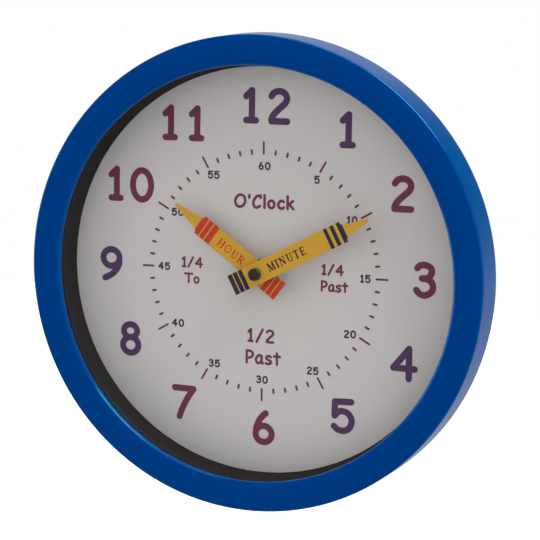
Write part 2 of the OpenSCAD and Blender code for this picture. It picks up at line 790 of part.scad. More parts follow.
// The stator closes the iron path from the coil's ends round the magnet
module stator() {
  left = [coil_x - core_len / 2 + arm_w / 2, coil_y];
  right = [coil_x + core_len / 2 - arm_w / 2, coil_y];
  low_y = setting_at[1] + setting_r + arm_gap;
  color([0.6, 0.6, 0.62]) place() translate([0, 0, stator_z]) linear_extrude(stator_t) difference() {
    union() {
      translate(rotor_at) circle(stator_hub, $fn = $fn);
      arm([left[0], rotor_at[1]], left + [0, core_w / 2], arm_w);
      arm([left[0] - arm_w / 2, rotor_at[1]], rotor_at, arm_w);
      arm([rotor_at[0], low_y], [right[0] + arm_w / 2, low_y], arm_w);
      arm([right[0], low_y], right + [0, core_w / 2], arm_w);
    }
    translate(rotor_at) circle(magnet_r + magnet_air, $fn = $fn);
    for (a = [60, 240]) translate(rotor_at + polar(stator_hub, a)) circle(notch_r, $fn = small);
  }
}

// Magnet, shaft and pinion in one piece, with pivots at both ends
module rotor() {
  foot = cover_in + seat_h + end_play;
  color([0.25, 0.25, 0.28]) place() translate(rotor_at) {
    rod(pivot_r, cover_in - 0.4, foot);
    rod(pivot_r + 0.15, foot, inter_z);
    toothed(rotor_teeth, rotor_m, inter_z - pinion_reach, magnet_z - inter_z + 2 * pinion_reach, 0, true);
    rod(magnet_r, magnet_z, magnet_z + magnet_h, $fn);
    rod(pivot_r + 0.15, magnet_z + magnet_h, plate_z - end_play);
    rod(pivot_r, plate_z - end_play, plate_top - 0.2);
  }
}

module intermediate_wheel() {
  foot = cover_in + seat_h + end_play;
  color([0.9, 0.88, 0.8]) place() translate(inter_at) {
    rod(pivot_r, cover_in - 0.4, foot);
    toothed(inter_leaves, inter_m, foot, inter_z - foot, 0, true);
    pierced_wheel(inter_teeth, rotor_m, inter_z, wheel_t, inter_phase, 1.7);
    rod(pivot_r + 0.2, inter_z + wheel_t, plate_z - end_play);
    rod(pivot_r, plate_z - end_play, plate_top - 0.2);
  }
}

module seconds_wheel() {
  foot = cover_in + seat_h + end_play;
  leaf_top = third_z + wheel_t + pinion_reach;
  color([0.9, 0.88, 0.8]) place() {
    rod(pivot_r, cover_in - 0.4, foot);
    rod(1.2, foot, seconds_z);
    pierced_wheel(seconds_teeth, inter_m, seconds_z, wheel_t, seconds_phase, 1.8);
    toothed(seconds_leaves, seconds_m, seconds_z + wheel_t, leaf_top - seconds_z - wheel_t, 0, true);
    rod(pivot_r, leaf_top, plate_z + plate_t * 0.2);
  }
}

module third_wheel() {
  foot = cover_in + seat_h + end_play;
  leaf_z = plate_top + end_play;
  leaf_top = centre_z + wheel_t + pinion_reach;
  color([0.9, 0.88, 0.8]) place() translate(third_at) {
    rod(pivot_r, cover_in - 0.4, foot);
    rod(pivot_r + 0.2, foot, leaf_z);
    pierced_wheel(third_teeth, seconds_m, third_z, wheel_t, third_phase, 1.8);
    toothed(third_leaves, centre_m, leaf_z, leaf_top - leaf_z, 0, true);
    rod(pivot_r + 0.1, leaf_top, front_in - end_play);
    rod(pivot_r, front_in - end_play, front_in + 0.7);
  }
}

// This wheel turns on the minute arbor, and only friction carries the arbor along
module centre_wheel() {
  hub = 2.3;
  color([0.9, 0.88, 0.8]) place() difference() {
    union() {
      pierced_wheel(centre_teeth, centre_m, centre_z, wheel_t, centre_phase, hub);
      rod(hub, centre_z, centre_z + wheel_t);
    }
    rod(arbor_r + running, centre_z - over, centre_z + wheel_t + over);
  }
}

// A dished washer between the centre wheel and the cannon pinion
module clutch_spring() {
  sheet = 0.25;
  inner = arbor_r + snug;
  outer = 3.6;
  z0 = centre_z + wheel_t + end_play;
  color([0.8, 0.78, 0.7]) place() rotate_extrude()
    polygon([[inner, cannon_z - sheet], [outer, z0], [outer, z0 + sheet], [inner, cannon_z]]);
}

module minute_arbor() {
  shoulder_z = plate_top + boss_h + end_play;
  tip_z = minute_z + hand_t + stud_len;
  color([0.85, 0.82, 0.74]) place() {
    rod(pivot_r, plate_top - plate_t * 0.2, shoulder_z);
    rod(2.2, shoulder_z, centre_z - end_play);
    rod(arbor_r, centre_z - end_play, minute_z);
    toothed(cannon_teeth, cannon_m, cannon_z, cannon_h, 0, true);
    intersection() {
      rod(stud_r, minute_z - over, tip_z);
      rotate(-minute_angle)
        block([-stud_r, -stud_flats / 2, minute_z - over], [stud_r, stud_flats / 2, tip_z]);
    }
  }
}

// The wheel and its pinion sit on the setting arbor and carry the motion to the hour wheel
module minute_wheel() {
  leaf_z = minute_wheel_z + motion_t;
  color([0.9, 0.88, 0.8]) place() translate(setting_at) difference() {
    union() {
      pierced_wheel(minute_teeth, cannon_m, minute_wheel_z, motion_t, minute_phase, 2.4);
      toothed(minute_leaves, hour_m, leaf_z, hour_wheel_z + motion_t + pinion_reach - leaf_z, 0, true);
    }
    rod(setting_r + snug, minute_wheel_z - over, front_in + over);
  }
}

module setting_knob() {
  grip_r = 0.7;
  knob_top = case_back - end_play;
  color([0.2, 0.2, 0.21]) place() translate(setting_at) {
    difference() {
      rod(knob_r, knob_gap, knob_top, $fn);
      for (k = [0:knob_grips - 1]) rotate(k * 360 / knob_grips)
        translate([knob_r + grip_r * 0.3, 0, 0]) rod(grip_r, knob_gap - over, knob_top + over);
    }
    rod(setting_r, knob_top - over, front_in - end_play);
    rod(pivot_r, front_in - end_play, front_in + 0.7);
  }
}

// Wheel and pipe in one piece: the pipe carries the hour hand through the bushing
module hour_wheel() {
  seat_r = pipe_r - 0.2;
  color([0.9, 0.88, 0.8]) place() difference() {
    union() {
      pierced_wheel(hour_teeth, hour_m, hour_wheel_z, motion_t, hour_phase, 3.4);
      rod(pipe_r, hour_wheel_z, hour_z);
      rod(seat_r, hour_z, hour_z + hand_t + 0.3);
    }
    rod(arbor_r + running, hour_wheel_z - over, hour_z + hand_t + over);
  }
}

// Outline of a crayon that points to +Y: point with a round tip, narrow collar and body
module crayon(w, reach, point, tail) {
  base = reach - point;
  polygon([[-tip_r, reach - tip_r], [-point_w / 2, base], [-collar_w / 2, base],
    [-collar_w / 2, base - collar_len], [-w / 2, base - collar_len], [-w / 2, -tail],
    [w / 2, -tail], [w / 2, base - collar_len], [collar_w / 2, base - collar_len],
    [collar_w / 2, base], [point_w / 2, base], [tip_r, reach - tip_r]]);
  translate([0, reach - tip_r]) circle(tip_r, $fn = small);
}

module hour_hand() {
  color([0.8, 0.62, 0.18]) place() rotate(-hour_angle) difference() {
    translate([0, 0, hour_z]) linear_extrude(hand_t) crayon(hour_w, hour_len, hour_point, hour_tail);
    rod(pipe_r - 0.2 + snug, hour_z - over, hour_z + hand_t + over);
  }
}

module minute_hand() {
  color([0.82, 0.64, 0.18]) place() rotate(-minute_angle)
    translate([0, 0, minute_z]) linear_extrude(hand_t) difference() {
      crayon(minute_w, minute_len, minute_point, minute_tail);
      intersection() {
        circle(stud_r + snug, $fn = small);
        square([2 * stud_r + 1, stud_flats + 2 * snug], center = true);
      }
    }
}

// A round nut with a soft edge, closed in front
module hand_cap() {
  z0 = minute_z + hand_t;
  round_r = 0.8;
  color([0.14, 0.13, 0.12]) place() difference() {
    rotate_extrude() polygon(concat([[0, z0], [cap_r, z0]],
      arc([cap_r - round_r, z0 + cap_h - round_r], round_r, 0, 90), [[0, z0 + cap_h]]));
    rod(stud_r + snug, z0 - over, z0 + stud_len + fit);
  }
}

frame();
lens();
spacer_ring();
dial();
back_shell();
frame_screws();
movement_case();
movement_cover();
middle_plate();
threaded_bushing();
mounting_nut();
nut_washer();
rubber_washer();
battery_cell();
contact_positive();
contact_negative();
circuit_board();
quartz_crystal();
coil_bobbin();
coil_winding();
coil_core();
stator();
rotor();
intermediate_wheel();
seconds_wheel();
third_wheel();
centre_wheel();
clutch_spring();
minute_arbor();
minute_wheel();
setting_knob();
hour_wheel();
hour_hand();
minute_hand();
hand_cap();
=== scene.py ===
# %% [markdown]
# # A teaching wall clock
# This file dresses a imported CAD clock: a blue moulded frame, a printed dial behind a clear
# lens, two flat hands shaped like crayons, and a quartz movement at the back. The CAD model
# gives every size and every joint, and here each visible surface gets its finish. The first
# cell loads the CAD model as a fixed frame.

# %% Load the imported clock
import json
import math

import bmesh
import bpy
import numpy as np
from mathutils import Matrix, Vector
from mathutils.geometry import delaunay_2d_cdt


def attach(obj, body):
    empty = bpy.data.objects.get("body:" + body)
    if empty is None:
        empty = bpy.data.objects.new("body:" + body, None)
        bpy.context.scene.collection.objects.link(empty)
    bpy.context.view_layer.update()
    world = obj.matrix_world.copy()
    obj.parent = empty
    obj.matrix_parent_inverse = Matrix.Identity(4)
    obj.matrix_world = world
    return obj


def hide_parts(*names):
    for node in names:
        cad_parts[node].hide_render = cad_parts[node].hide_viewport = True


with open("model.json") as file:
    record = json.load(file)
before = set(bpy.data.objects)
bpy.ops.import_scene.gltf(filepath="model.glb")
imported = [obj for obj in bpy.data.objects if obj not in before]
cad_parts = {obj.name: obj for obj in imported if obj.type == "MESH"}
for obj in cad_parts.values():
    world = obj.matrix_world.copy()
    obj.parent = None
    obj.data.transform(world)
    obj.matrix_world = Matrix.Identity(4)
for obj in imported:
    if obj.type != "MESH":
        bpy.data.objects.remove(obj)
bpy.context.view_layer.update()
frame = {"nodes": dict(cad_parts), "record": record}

# %% [markdown]
# ## The clock's own measures
# The clock is easiest to think of lying on its back: x runs to 3 o'clock, y to 12 o'clock and
# z forwards from the wall, in millimetres, with the hands' axis at x = y = 0. The shared frame
# hangs it by its keyhole, 106 mm above that axis, and counts in metres. One function carries
# points from the first to the second, so every shape below is written in the clock's own
# measures. It is a pure turn and shift, so nothing is turned inside out.

# %% Heights and the way into the shared frame
KEYHOLE_Y = 106.0
SHELL_FRONT = 22.6
DIAL_Z = 23.0
LENS_BACK = 40.6
LENS_FRONT = 42.4
LIP_Z = 45.0
FRONT_Z = 47.5


def stand(points):
    """Clock measures to the shared frame: X = x, Y = -z, Z = y - 106, all over 1000."""
    x, y, z = np.asarray(points, float).T
    return np.column_stack([x, -z, y - KEYHOLE_Y]) / 1000


print("dial at Y =", stand([[0, 0, DIAL_Z]])[0][1])


# %% [markdown]
# ## Surfaces from grids
# Most rigid pieces of a clock are turned shapes. A turned surface is a function of two
# parameters: how far along the section, and how far round the axis. The points are worked out
# as one array, and the faces join each point with its neighbours on the grid. Poles and seams
# are closed by merging what coincides, and edges sharper than a set angle stay sharp while
# the rest shades smoothly, so a small moulded radius still catches its line of light.

# %% Helpers that make a mesh piece
def grid_faces(rows, cols, close_rows):
    """Four corners for each cell of a grid; a row closes, and the last row meets the first if asked."""
    r, c = np.meshgrid(np.arange(rows - (not close_rows)), np.arange(cols), indexing="ij")
    r, c = r.ravel(), c.ravel()
    r2, c2 = (r + 1) % rows, (c + 1) % cols
    return np.column_stack([r * cols + c, r * cols + c2, r2 * cols + c2, r2 * cols + c])


def join(shells):
    """Several shells as one. A shell is its points and its groups of faces of equal length."""
    points, faces, first = [], [], 0
    for p, groups in shells:
        points.append(p)
        for group in groups:
            faces += (np.asarray(group) + first).tolist()
        first += len(p)
    return np.vstack(points), faces


def add_object(name, data):
    """A new object that shows the data, linked to the scene."""
    obj = bpy.data.objects.new(name, data)
    bpy.context.scene.collection.objects.link(obj)
    return obj


SAME_POINT, SHARP_EDGE = 1e-7, 35


def piece(name, shells, material, body="clock"):
    """A finished object from closed shells in clock measures, riding on a body."""
    points, faces = join(shells)
    mesh = bpy.data.meshes.new(name)
    mesh.from_pydata(stand(points).tolist(), [], faces)
    bm = bmesh.new()
    bm.from_mesh(mesh)
    bmesh.ops.remove_doubles(bm, verts=bm.verts, dist=SAME_POINT)
    bmesh.ops.recalc_face_normals(bm, faces=bm.faces)
    bm.to_mesh(mesh)
    bm.free()
    mesh.shade_smooth()
    mesh.set_sharp_from_angle(angle=math.radians(SHARP_EDGE))
    mesh.materials.append(material)
    obj = add_object(name, mesh)
    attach(obj, body)
    print(f"{name}: {len(mesh.vertices)} points, {len(mesh.polygons)} faces")
    return obj


def arc(centre, radius, start, end, count):
    """Points on a circle of that radius, from one angle to another in degrees."""
    a = np.radians(np.linspace(start, end, count))
    return np.column_stack([centre[0] + radius * np.cos(a), centre[1] + radius * np.sin(a)])


FINE_TURN = 480


def turned(section, steps=FINE_TURN):
    """A closed section (r, z) carried once round the axis: x = r sin a, y = r cos a."""
    section = np.asarray(section, float)
    a = np.linspace(0, 2 * np.pi, steps, endpoint=False)
    r, z = section.T
    points = np.stack([np.outer(np.sin(a), r), np.outer(np.cos(a), r), np.tile(z, (steps, 1))], axis=2)
    return points.reshape(-1, 3), [grid_faces(steps, len(section), close_rows=True)]


print("3 rings of 4 points have", len(grid_faces(3, 4, close_rows=False)), "cells between them")

# %% [markdown]
# ## Finishes
# Moulded and printed surfaces are never one flat colour. Each finish is a Principled shader
# whose colour and roughness drift a little with noise read on Object coordinates, so the
# pattern keeps to the piece and turns with it, and whose normal carries the fine grain that
# the tool left in the plastic. Numbers that are the same all over sit on the shader's own
# sockets. One function makes them all, because they differ only in those numbers. The blue
# gets two more: its gloss is tinted, since a mirrored white looks cyan on this deep blue, and
# a little sheen lightens it where the eye grazes it. The strip behind the lens has no gloss.


# %% The finish maker
COAT_ROUGH, SMOOTHEST, BUMP_STRENGTH, CLOUD_DETAIL, GRAIN_DETAIL = 0.05, 0.02, 0.5, 4, 2


def finish(name, colour, rough, drift=0.06, cloud=60, grain=900, grain_depth=0.02, rough_drift=0.06,
           metal=0.0, specular=0.5, coat=0.0, stretch=(1, 1, 1)):
    """A material: colour times (1 +- drift) by cloudy noise, roughness likewise, fine bump."""
    m = bpy.data.materials.new(name)
    m.use_nodes = True
    tree = m.node_tree
    shader = tree.nodes["Principled BSDF"]
    shader.inputs["Metallic"].default_value = metal
    shader.inputs["Specular IOR Level"].default_value = specular
    shader.inputs["Coat Weight"].default_value = coat
    shader.inputs["Coat Roughness"].default_value = COAT_ROUGH
    where = tree.nodes.new("ShaderNodeTexCoord")
    place = tree.nodes.new("ShaderNodeMapping")
    place.inputs["Scale"].default_value = stretch
    tree.links.new(where.outputs["Object"], place.inputs["Vector"])

    def noise(scale, detail):
        """The value of a noise texture at the mapped place."""
        n = tree.nodes.new("ShaderNodeTexNoise")
        n.inputs["Scale"].default_value = scale
        n.inputs["Detail"].default_value = detail
        tree.links.new(place.outputs["Vector"], n.inputs["Vector"])
        return n.outputs["Fac"]

    clouds, fine = noise(cloud, CLOUD_DETAIL), noise(grain, GRAIN_DETAIL)
    tones = tree.nodes.new("ShaderNodeMix")
    tones.data_type = "RGBA"
    tones.inputs["A"].default_value = (*[c * (1 - drift) for c in colour], 1)
    tones.inputs["B"].default_value = (*[min(1, c * (1 + drift)) for c in colour], 1)
    tree.links.new(clouds, tones.inputs["Factor"])
    tree.links.new(tones.outputs["Result"], shader.inputs["Base Color"])
    spread = tree.nodes.new("ShaderNodeMapRange")
    spread.inputs["To Min"].default_value = max(SMOOTHEST, rough - rough_drift)
    spread.inputs["To Max"].default_value = min(1, rough + rough_drift)
    tree.links.new(fine, spread.inputs["Value"])
    tree.links.new(spread.outputs["Result"], shader.inputs["Roughness"])
    bump = tree.nodes.new("ShaderNodeBump")
    bump.inputs["Strength"].default_value = BUMP_STRENGTH
    bump.inputs["Distance"].default_value = grain_depth / 1000
    tree.links.new(fine, bump.inputs["Height"])
    tree.links.new(bump.outputs["Normal"], shader.inputs["Normal"])
    return m


blue_gloss = finish("blue_gloss", (0.0, 0.042, 0.22), 0.09, drift=0.03, cloud=18, grain=260,
                    grain_depth=0.01, rough_drift=0.03)
for socket, number in (("Specular Tint", (0.0, 0.65, 1.0, 1)), ("Sheen Weight", 0.18),
                       ("Sheen Roughness", 0.35), ("Sheen Tint", (0.0, 0.28, 0.92, 1))):
    blue_gloss.node_tree.nodes["Principled BSDF"].inputs[socket].default_value = number
print(blue_gloss.name, "has", len(blue_gloss.node_tree.nodes), "nodes")

# %% [markdown]
# ## The clock's plastics, card and inks
# The card is matt and takes three inks. The yellow sheet of the hands is painted, so it and
# the inks on it shine a little more. The plastics differ in tone and in the depth of the grain.

# %% The plastics, the card and its inks
black_satin = finish("black_satin", (0.0285, 0.0245, 0.0240), 0.5, grain=700, specular=0.0)
card_white = finish("card_white", (0.572, 0.546, 0.538), 0.75, drift=0.015, cloud=220, grain=2500,
                    grain_depth=0.01, specular=0.2)
DIAL_INK = {"rough": 0.6, "drift": 0.08, "cloud": 500, "grain": 3000, "specular": 0.25}
purple_ink = finish("purple_ink", (0.087, 0.0375, 0.107), **DIAL_INK)
maroon_ink = finish("maroon_ink", (0.162, 0.0312, 0.068), **DIAL_INK)
navy_ink = finish("navy_ink", (0.044, 0.022, 0.068), **DIAL_INK)
hand_yellow = finish("hand_yellow", (0.56, 0.312, 0.022), 0.42, drift=0.03, cloud=90, grain=1500,
                     grain_depth=0.006, specular=0.35)
HAND_INK = {"rough": 0.42, "cloud": 120, "grain": 1500, "specular": 0.3}
band_red = finish("band_red", (0.50, 0.034, 0.019), drift=0.04, **HAND_INK)
band_navy = finish("band_navy", (0.021, 0.023, 0.052), drift=0.08, **HAND_INK)
word_navy = finish("word_navy", (0.012, 0.013, 0.024), drift=0.08, **HAND_INK)
cap_black = finish("cap_black", (0.030, 0.022, 0.019), 0.35, grain=1500)
shell_black = finish("shell_black", (0.045, 0.045, 0.048), 0.5, cloud=40, grain=1400, grain_depth=0.05)
case_black = finish("case_black", (0.024, 0.024, 0.027), 0.45, cloud=80, grain=1800, grain_depth=0.03)
knob_grey = finish("knob_grey", (0.11, 0.11, 0.115), 0.42, cloud=80, grain=1800, grain_depth=0.03)
rubber = finish("rubber", (0.02, 0.02, 0.02), 0.8, grain=1500)
nylon = finish("nylon", (0.82, 0.79, 0.68), 0.4, drift=0.03, grain=1500)
plate_grey = finish("plate_grey", (0.55, 0.54, 0.5), 0.45, drift=0.03, grain=1500)
board_green = finish("board_green", (0.03, 0.14, 0.06), 0.45, grain=1500)
print("the card, three dial inks and the plastics are made")

# %% [markdown]
# ## The clock's metals
# Metals show behind, on the screws and in the battery bay, and stand inside the case. Noise
# squeezed along one axis leaves lines across it: brush lines on steel, windings on copper.

# %% The metals
steel = finish("steel", (0.55, 0.55, 0.57), 0.3, metal=1, stretch=(1, 1, 8), grain=1200)
brass = finish("brass", (0.72, 0.52, 0.22), 0.28, metal=1, grain=1500)
black_steel = finish("black_steel", (0.03, 0.03, 0.032), 0.4, grain=1500)
copper = finish("copper", (0.72, 0.30, 0.14), 0.3, metal=1, stretch=(40, 1, 1), grain=300, grain_depth=0.05)
iron = finish("iron", (0.42, 0.42, 0.44), 0.35, metal=1, grain=1200)
magnet_grey = finish("magnet_grey", (0.12, 0.12, 0.13), 0.4, metal=0.6, grain=1200)
cell_jacket = finish("cell_jacket", (0.05, 0.07, 0.09), 0.25, drift=0.04, grain=900, coat=0.4)
print(len(bpy.data.materials), "materials, those of the CAD model included")

# %% [markdown]
# ## The moulded frame
# On the real clock this is one injection moulding in glossy blue plastic: a side wall with a
# little draft, a front that is crowned by half a millimetre, a small round at the outer edge
# and a larger one that curls under at the lip, and behind the lip the wall that holds the lens.
# It could be a bevelled CAD mesh, but a gloss finish shows every facet, so the same section
# is turned here in fine steps, with the screw bosses and their gussets behind it.

# %% The frame's section
FRAME_R, DRAFT, WALL = 152.4, 0.9, 2.4
EDGE_ROUND, LIP_R, LIP_ROUND, LIP_CURL = 1.5, 132.3, 2.8, 0.8
RIM_Z, CROWN, CROWN_STEPS, POCKET_R, POCKET_WALL = 18.9, 0.55, 26, 135.1, 1.8
CHAMFER, FILLET, INSIDE_DRAFT, CARD_GAP = 0.3, 1.0, 0.2, 0.3

edge_r, lip_mid = FRAME_R - DRAFT - EDGE_ROUND, LIP_R + LIP_ROUND
face_in = LIP_Z + LIP_ROUND
slope = DRAFT / (FRONT_Z - EDGE_ROUND - RIM_Z)
inner_r = FRAME_R - WALL - slope * (FRONT_Z - WALL - RIM_Z)
pocket_out, pocket_foot = POCKET_R + POCKET_WALL, DIAL_Z + CARD_GAP
t = np.linspace(0, 1, CROWN_STEPS)[1:-1]
crown = np.column_stack([edge_r + (lip_mid - edge_r) * t,
                         FRONT_Z + (face_in - FRONT_Z) * t + 4 * CROWN * t * (1 - t)])
frame_section = np.vstack([
    [[FRAME_R - CHAMFER, RIM_Z], [FRAME_R, RIM_Z + CHAMFER]],
    arc((edge_r, FRONT_Z - EDGE_ROUND), EDGE_ROUND, 0, 90, 14),
    crown,
    arc((lip_mid, LIP_Z), LIP_ROUND, 90, 220, 24),
    [[LIP_R + LIP_CURL, LENS_FRONT], [POCKET_R, LENS_FRONT], [POCKET_R, pocket_foot],
     [pocket_out, pocket_foot]],
    arc((pocket_out + FILLET, face_in - WALL - FILLET), FILLET, 180, 90, 5),
    arc((inner_r - FILLET, FRONT_Z - WALL - FILLET), FILLET, 90, 0, 5),
    [[FRAME_R - WALL + INSIDE_DRAFT, RIM_Z]]])
frame_shell = turned(frame_section)
print("the frame's section has", len(frame_section), "points")


# %% [markdown]
# ## Screw bosses
# Six bosses take the screws that hold the back shell, each tied to the wall of the lens pocket
# by a thin gusset. Both sink a little into the moulding, so that no gap shows at their roots.


# %% Screw bosses, gussets and the finished moulding
def around(shell, count, radius):
    """The same shell repeated round the clock's axis, first moved out to that radius."""
    points, groups = shell
    out = []
    for k in range(count):
        a = math.radians(360 * k / count)
        turn = np.array([[math.cos(a), -math.sin(a), 0], [math.sin(a), math.cos(a), 0], [0, 0, 1]])
        out.append(((points + [radius, 0, 0]) @ turn.T, groups))
    return out


SCREWS, SCREW_RING, BOSS_R, HOLE_R, HOLE_DEEP = 6, 146.177, 3.3, 1.22, 11
BOSS_STEPS, GUSSET_HALF, GUSSET_GAP, SUNK = 40, 0.7, 3, 0.4
boss_top, hole_end = FRONT_Z - WALL + SUNK, SHELL_FRONT + HOLE_DEEP
boss = turned([[0, hole_end], [HOLE_R, hole_end], [HOLE_R, SHELL_FRONT], [BOSS_R, SHELL_FRONT],
               [BOSS_R, boss_top], [0, boss_top]], BOSS_STEPS)


def slab(x0, x1, half, z0, z1):
    """A straight web from x0 to x1, as the eight corners of its grid."""
    corners = np.array([[x, y, z] for x in (x0, x1) for y in (-half, half) for z in (z0, z1)], float)
    sides = [[0, 1, 3, 2], [4, 6, 7, 5], [0, 4, 5, 1], [2, 3, 7, 6], [0, 2, 6, 4], [1, 5, 7, 3]]
    return corners, [sides]


gusset = slab(POCKET_R + POCKET_WALL / 2, SCREW_RING - GUSSET_GAP, GUSSET_HALF, DIAL_Z + HOLE_DEEP,
              face_in - WALL + SUNK)
frame_shells = [frame_shell, *around(boss, SCREWS, SCREW_RING), *around(gusset, SCREWS, 0)]
frame_piece = piece("frame_moulding", frame_shells, blue_gloss)
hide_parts("frame")

# %% [markdown]
# ## The spacer strip
# Between the dial and the lens stands a strip of black plastic, rolled to a cone and cut to
# length, so its two ends leave a fine seam near 6 o'clock. It is the dark inner wall that the
# photograph shows on the left. Its front edge steps back under the lip, which leaves a thin
# dark groove beside the blue. It is turned like the frame, but stops short of a full circle,
# and both ends are closed by the section itself.


# %% The spacer strip with its seam
def open_turned(section, start, end, steps=FINE_TURN):
    """A section carried from one clock angle to another, with its two ends closed."""
    section = np.asarray(section, float)
    a = np.radians(np.linspace(start, end, steps))
    r, z = section.T
    points = np.stack([np.outer(np.sin(a), r), np.outer(np.cos(a), r), np.tile(z, (steps, 1))], axis=2)
    n = len(section)
    ends = [np.arange(n), np.arange((steps - 1) * n, steps * n)[::-1]]
    return points.reshape(-1, 3), [grid_faces(steps, n, close_rows=False), ends]


SEAM_AT, SEAM_HALF = 184, math.degrees(0.25 / 132)
STRIP_FOOT, CONE_HEAD, STRIP_HEAD, STRIP_WALL, STEP_IN, STEP_BACK = 131.1, 133.1, 133.3, 1.5, 0.9, 1.4
step_r, cone_end = STRIP_HEAD + STEP_IN, [CONE_HEAD, LENS_BACK - STEP_BACK]
strip_section = [[STRIP_FOOT, DIAL_Z], cone_end, [step_r, LENS_BACK - STEP_IN],
                 [step_r, LENS_BACK], [STRIP_HEAD + STRIP_WALL, LENS_BACK],
                 [STRIP_FOOT + STRIP_WALL, DIAL_Z]]
strip_shell = open_turned(strip_section, SEAM_AT + SEAM_HALF, SEAM_AT + 360 - SEAM_HALF)
strip = piece("spacer_strip", [strip_shell], black_satin)
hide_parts("spacer_ring")

# %% [markdown]
# ## Ink
# The dial and the hands are screen printed: flat ink, a few hundredths of a millimetre thick,
# with rounded stroke ends. Ink could be painted by the material, but an outline in the mesh
# stays crisp at any distance. Each stroke is a line carried half a width to both sides, with
# a half circle round each end. A Delaunay triangulation then merges all the strokes of a
# print into one flat shape without overlaps, and its border is pulled down to give it
# thickness.


# %% Strokes and the ink maker
def ribbon(line, width, ends=8):
    """Outline of a stroke: its line moved half a width to each side, and half circles."""
    line = np.asarray(line, float)
    along = np.gradient(line, axis=0)
    along /= np.linalg.norm(along, axis=1)[:, None]
    side = np.column_stack([-along[:, 1], along[:, 0]]) * width / 2
    first, last = (math.degrees(math.atan2(v[1], v[0])) for v in (along[0], along[-1]))
    far_end = arc(line[-1], width / 2, last - 90, last + 90, ends)[1:-1]
    near_end = arc(line[0], width / 2, first + 90, first + 270, ends)[1:-1]
    return np.vstack([line - side, far_end, (line + side)[::-1], near_end])


INK, SUNK_INK, ONE_POINT = 0.03, 0.01, 1e-4


def ink_shell(outlines, surface):
    """The union of flat outlines, as a closed layer that stands up from a surface."""
    sizes = np.cumsum([0] + [len(o) for o in outlines])
    rings = [list(range(a, b)) for a, b in zip(sizes[:-1], sizes[1:])]
    found = delaunay_2d_cdt(np.vstack(outlines).tolist(), [], rings, 1, ONE_POINT)
    xy = np.array(found[0])
    tri = np.array([face for face, strokes in zip(found[2], found[5]) if strokes])
    n, back, front = len(xy), surface - SUNK_INK, surface + INK
    edges = np.vstack([tri[:, [0, 1]], tri[:, [1, 2]], tri[:, [2, 0]]])
    key, back_key = edges[:, 0] * n + edges[:, 1], edges[:, 1] * n + edges[:, 0]
    rim = edges[~np.isin(key, back_key)]
    points = np.vstack([np.column_stack([xy, np.full(n, z)]) for z in (front, back)])
    walls = np.column_stack([rim[:, 0] + n, rim[:, 1] + n, rim[:, 1], rim[:, 0]])
    return points, [tri, tri[:, ::-1] + n, walls]


print("a stroke 10 mm long has", len(ribbon([[0, 0], [10, 0]], 1)), "points")

# %% [markdown]
# ## Rounded numbers and letters
# The big numbers are drawn as a sign writer would with one round brush: each is a few lines
# of one width. Straight strokes are two points, and bowed ones pass through a handful of
# points on a smooth curve. They are written once for a height of 1 with the foot at 0, and
# then scaled for the hours, the minutes and the words.


# %% Monoline strokes
CURVE_STEPS, OVAL_STEPS = 10, 30


def smooth(*knots):
    """A Catmull-Rom curve through the knots: each span bends with the slopes at its ends."""
    p = np.asarray(knots, float)
    p = np.vstack([2 * p[0] - p[1], p, 2 * p[-1] - p[-2]])
    u = np.linspace(0, 1, CURVE_STEPS, endpoint=False)[:, None, None]
    a, b, c, d = p[:-3], p[1:-2], p[2:-1], p[3:]
    square, cube = 2 * a - 5 * b + 4 * c - d, 3 * b - a - 3 * c + d
    spans = 0.5 * (2 * b + (c - a) * u + square * u**2 + cube * u**3)
    return np.vstack([spans.transpose(1, 0, 2).reshape(-1, 2), p[-2]])


def oval(x, y, rx, ry, start, end, lean):
    """Points on an ellipse that may lean: x grows by lean times the height over the middle."""
    a = np.radians(np.linspace(start, end, OVAL_STEPS))
    return np.column_stack([x + rx * np.cos(a) + lean * ry * np.sin(a), y + ry * np.sin(a)])


def halves(x, y, rx, ry, lean=0.0):
    """A closed oval as two strokes that overlap at both ends."""
    return [oval(x, y, rx, ry, -5, 185, lean), oval(x, y, rx, ry, 175, 365, lean)]


def line(*ends):
    """A straight stroke through its ends."""
    return np.asarray(ends, float)


print("a curve through 3 points is drawn with", len(smooth((0, 0), (1, 1), (2, 0))))

# %% [markdown]
# ## The characters
# Each character is a list of strokes. Its own left edge needn't be at 0, because a line of
# print measures every character before it places it.

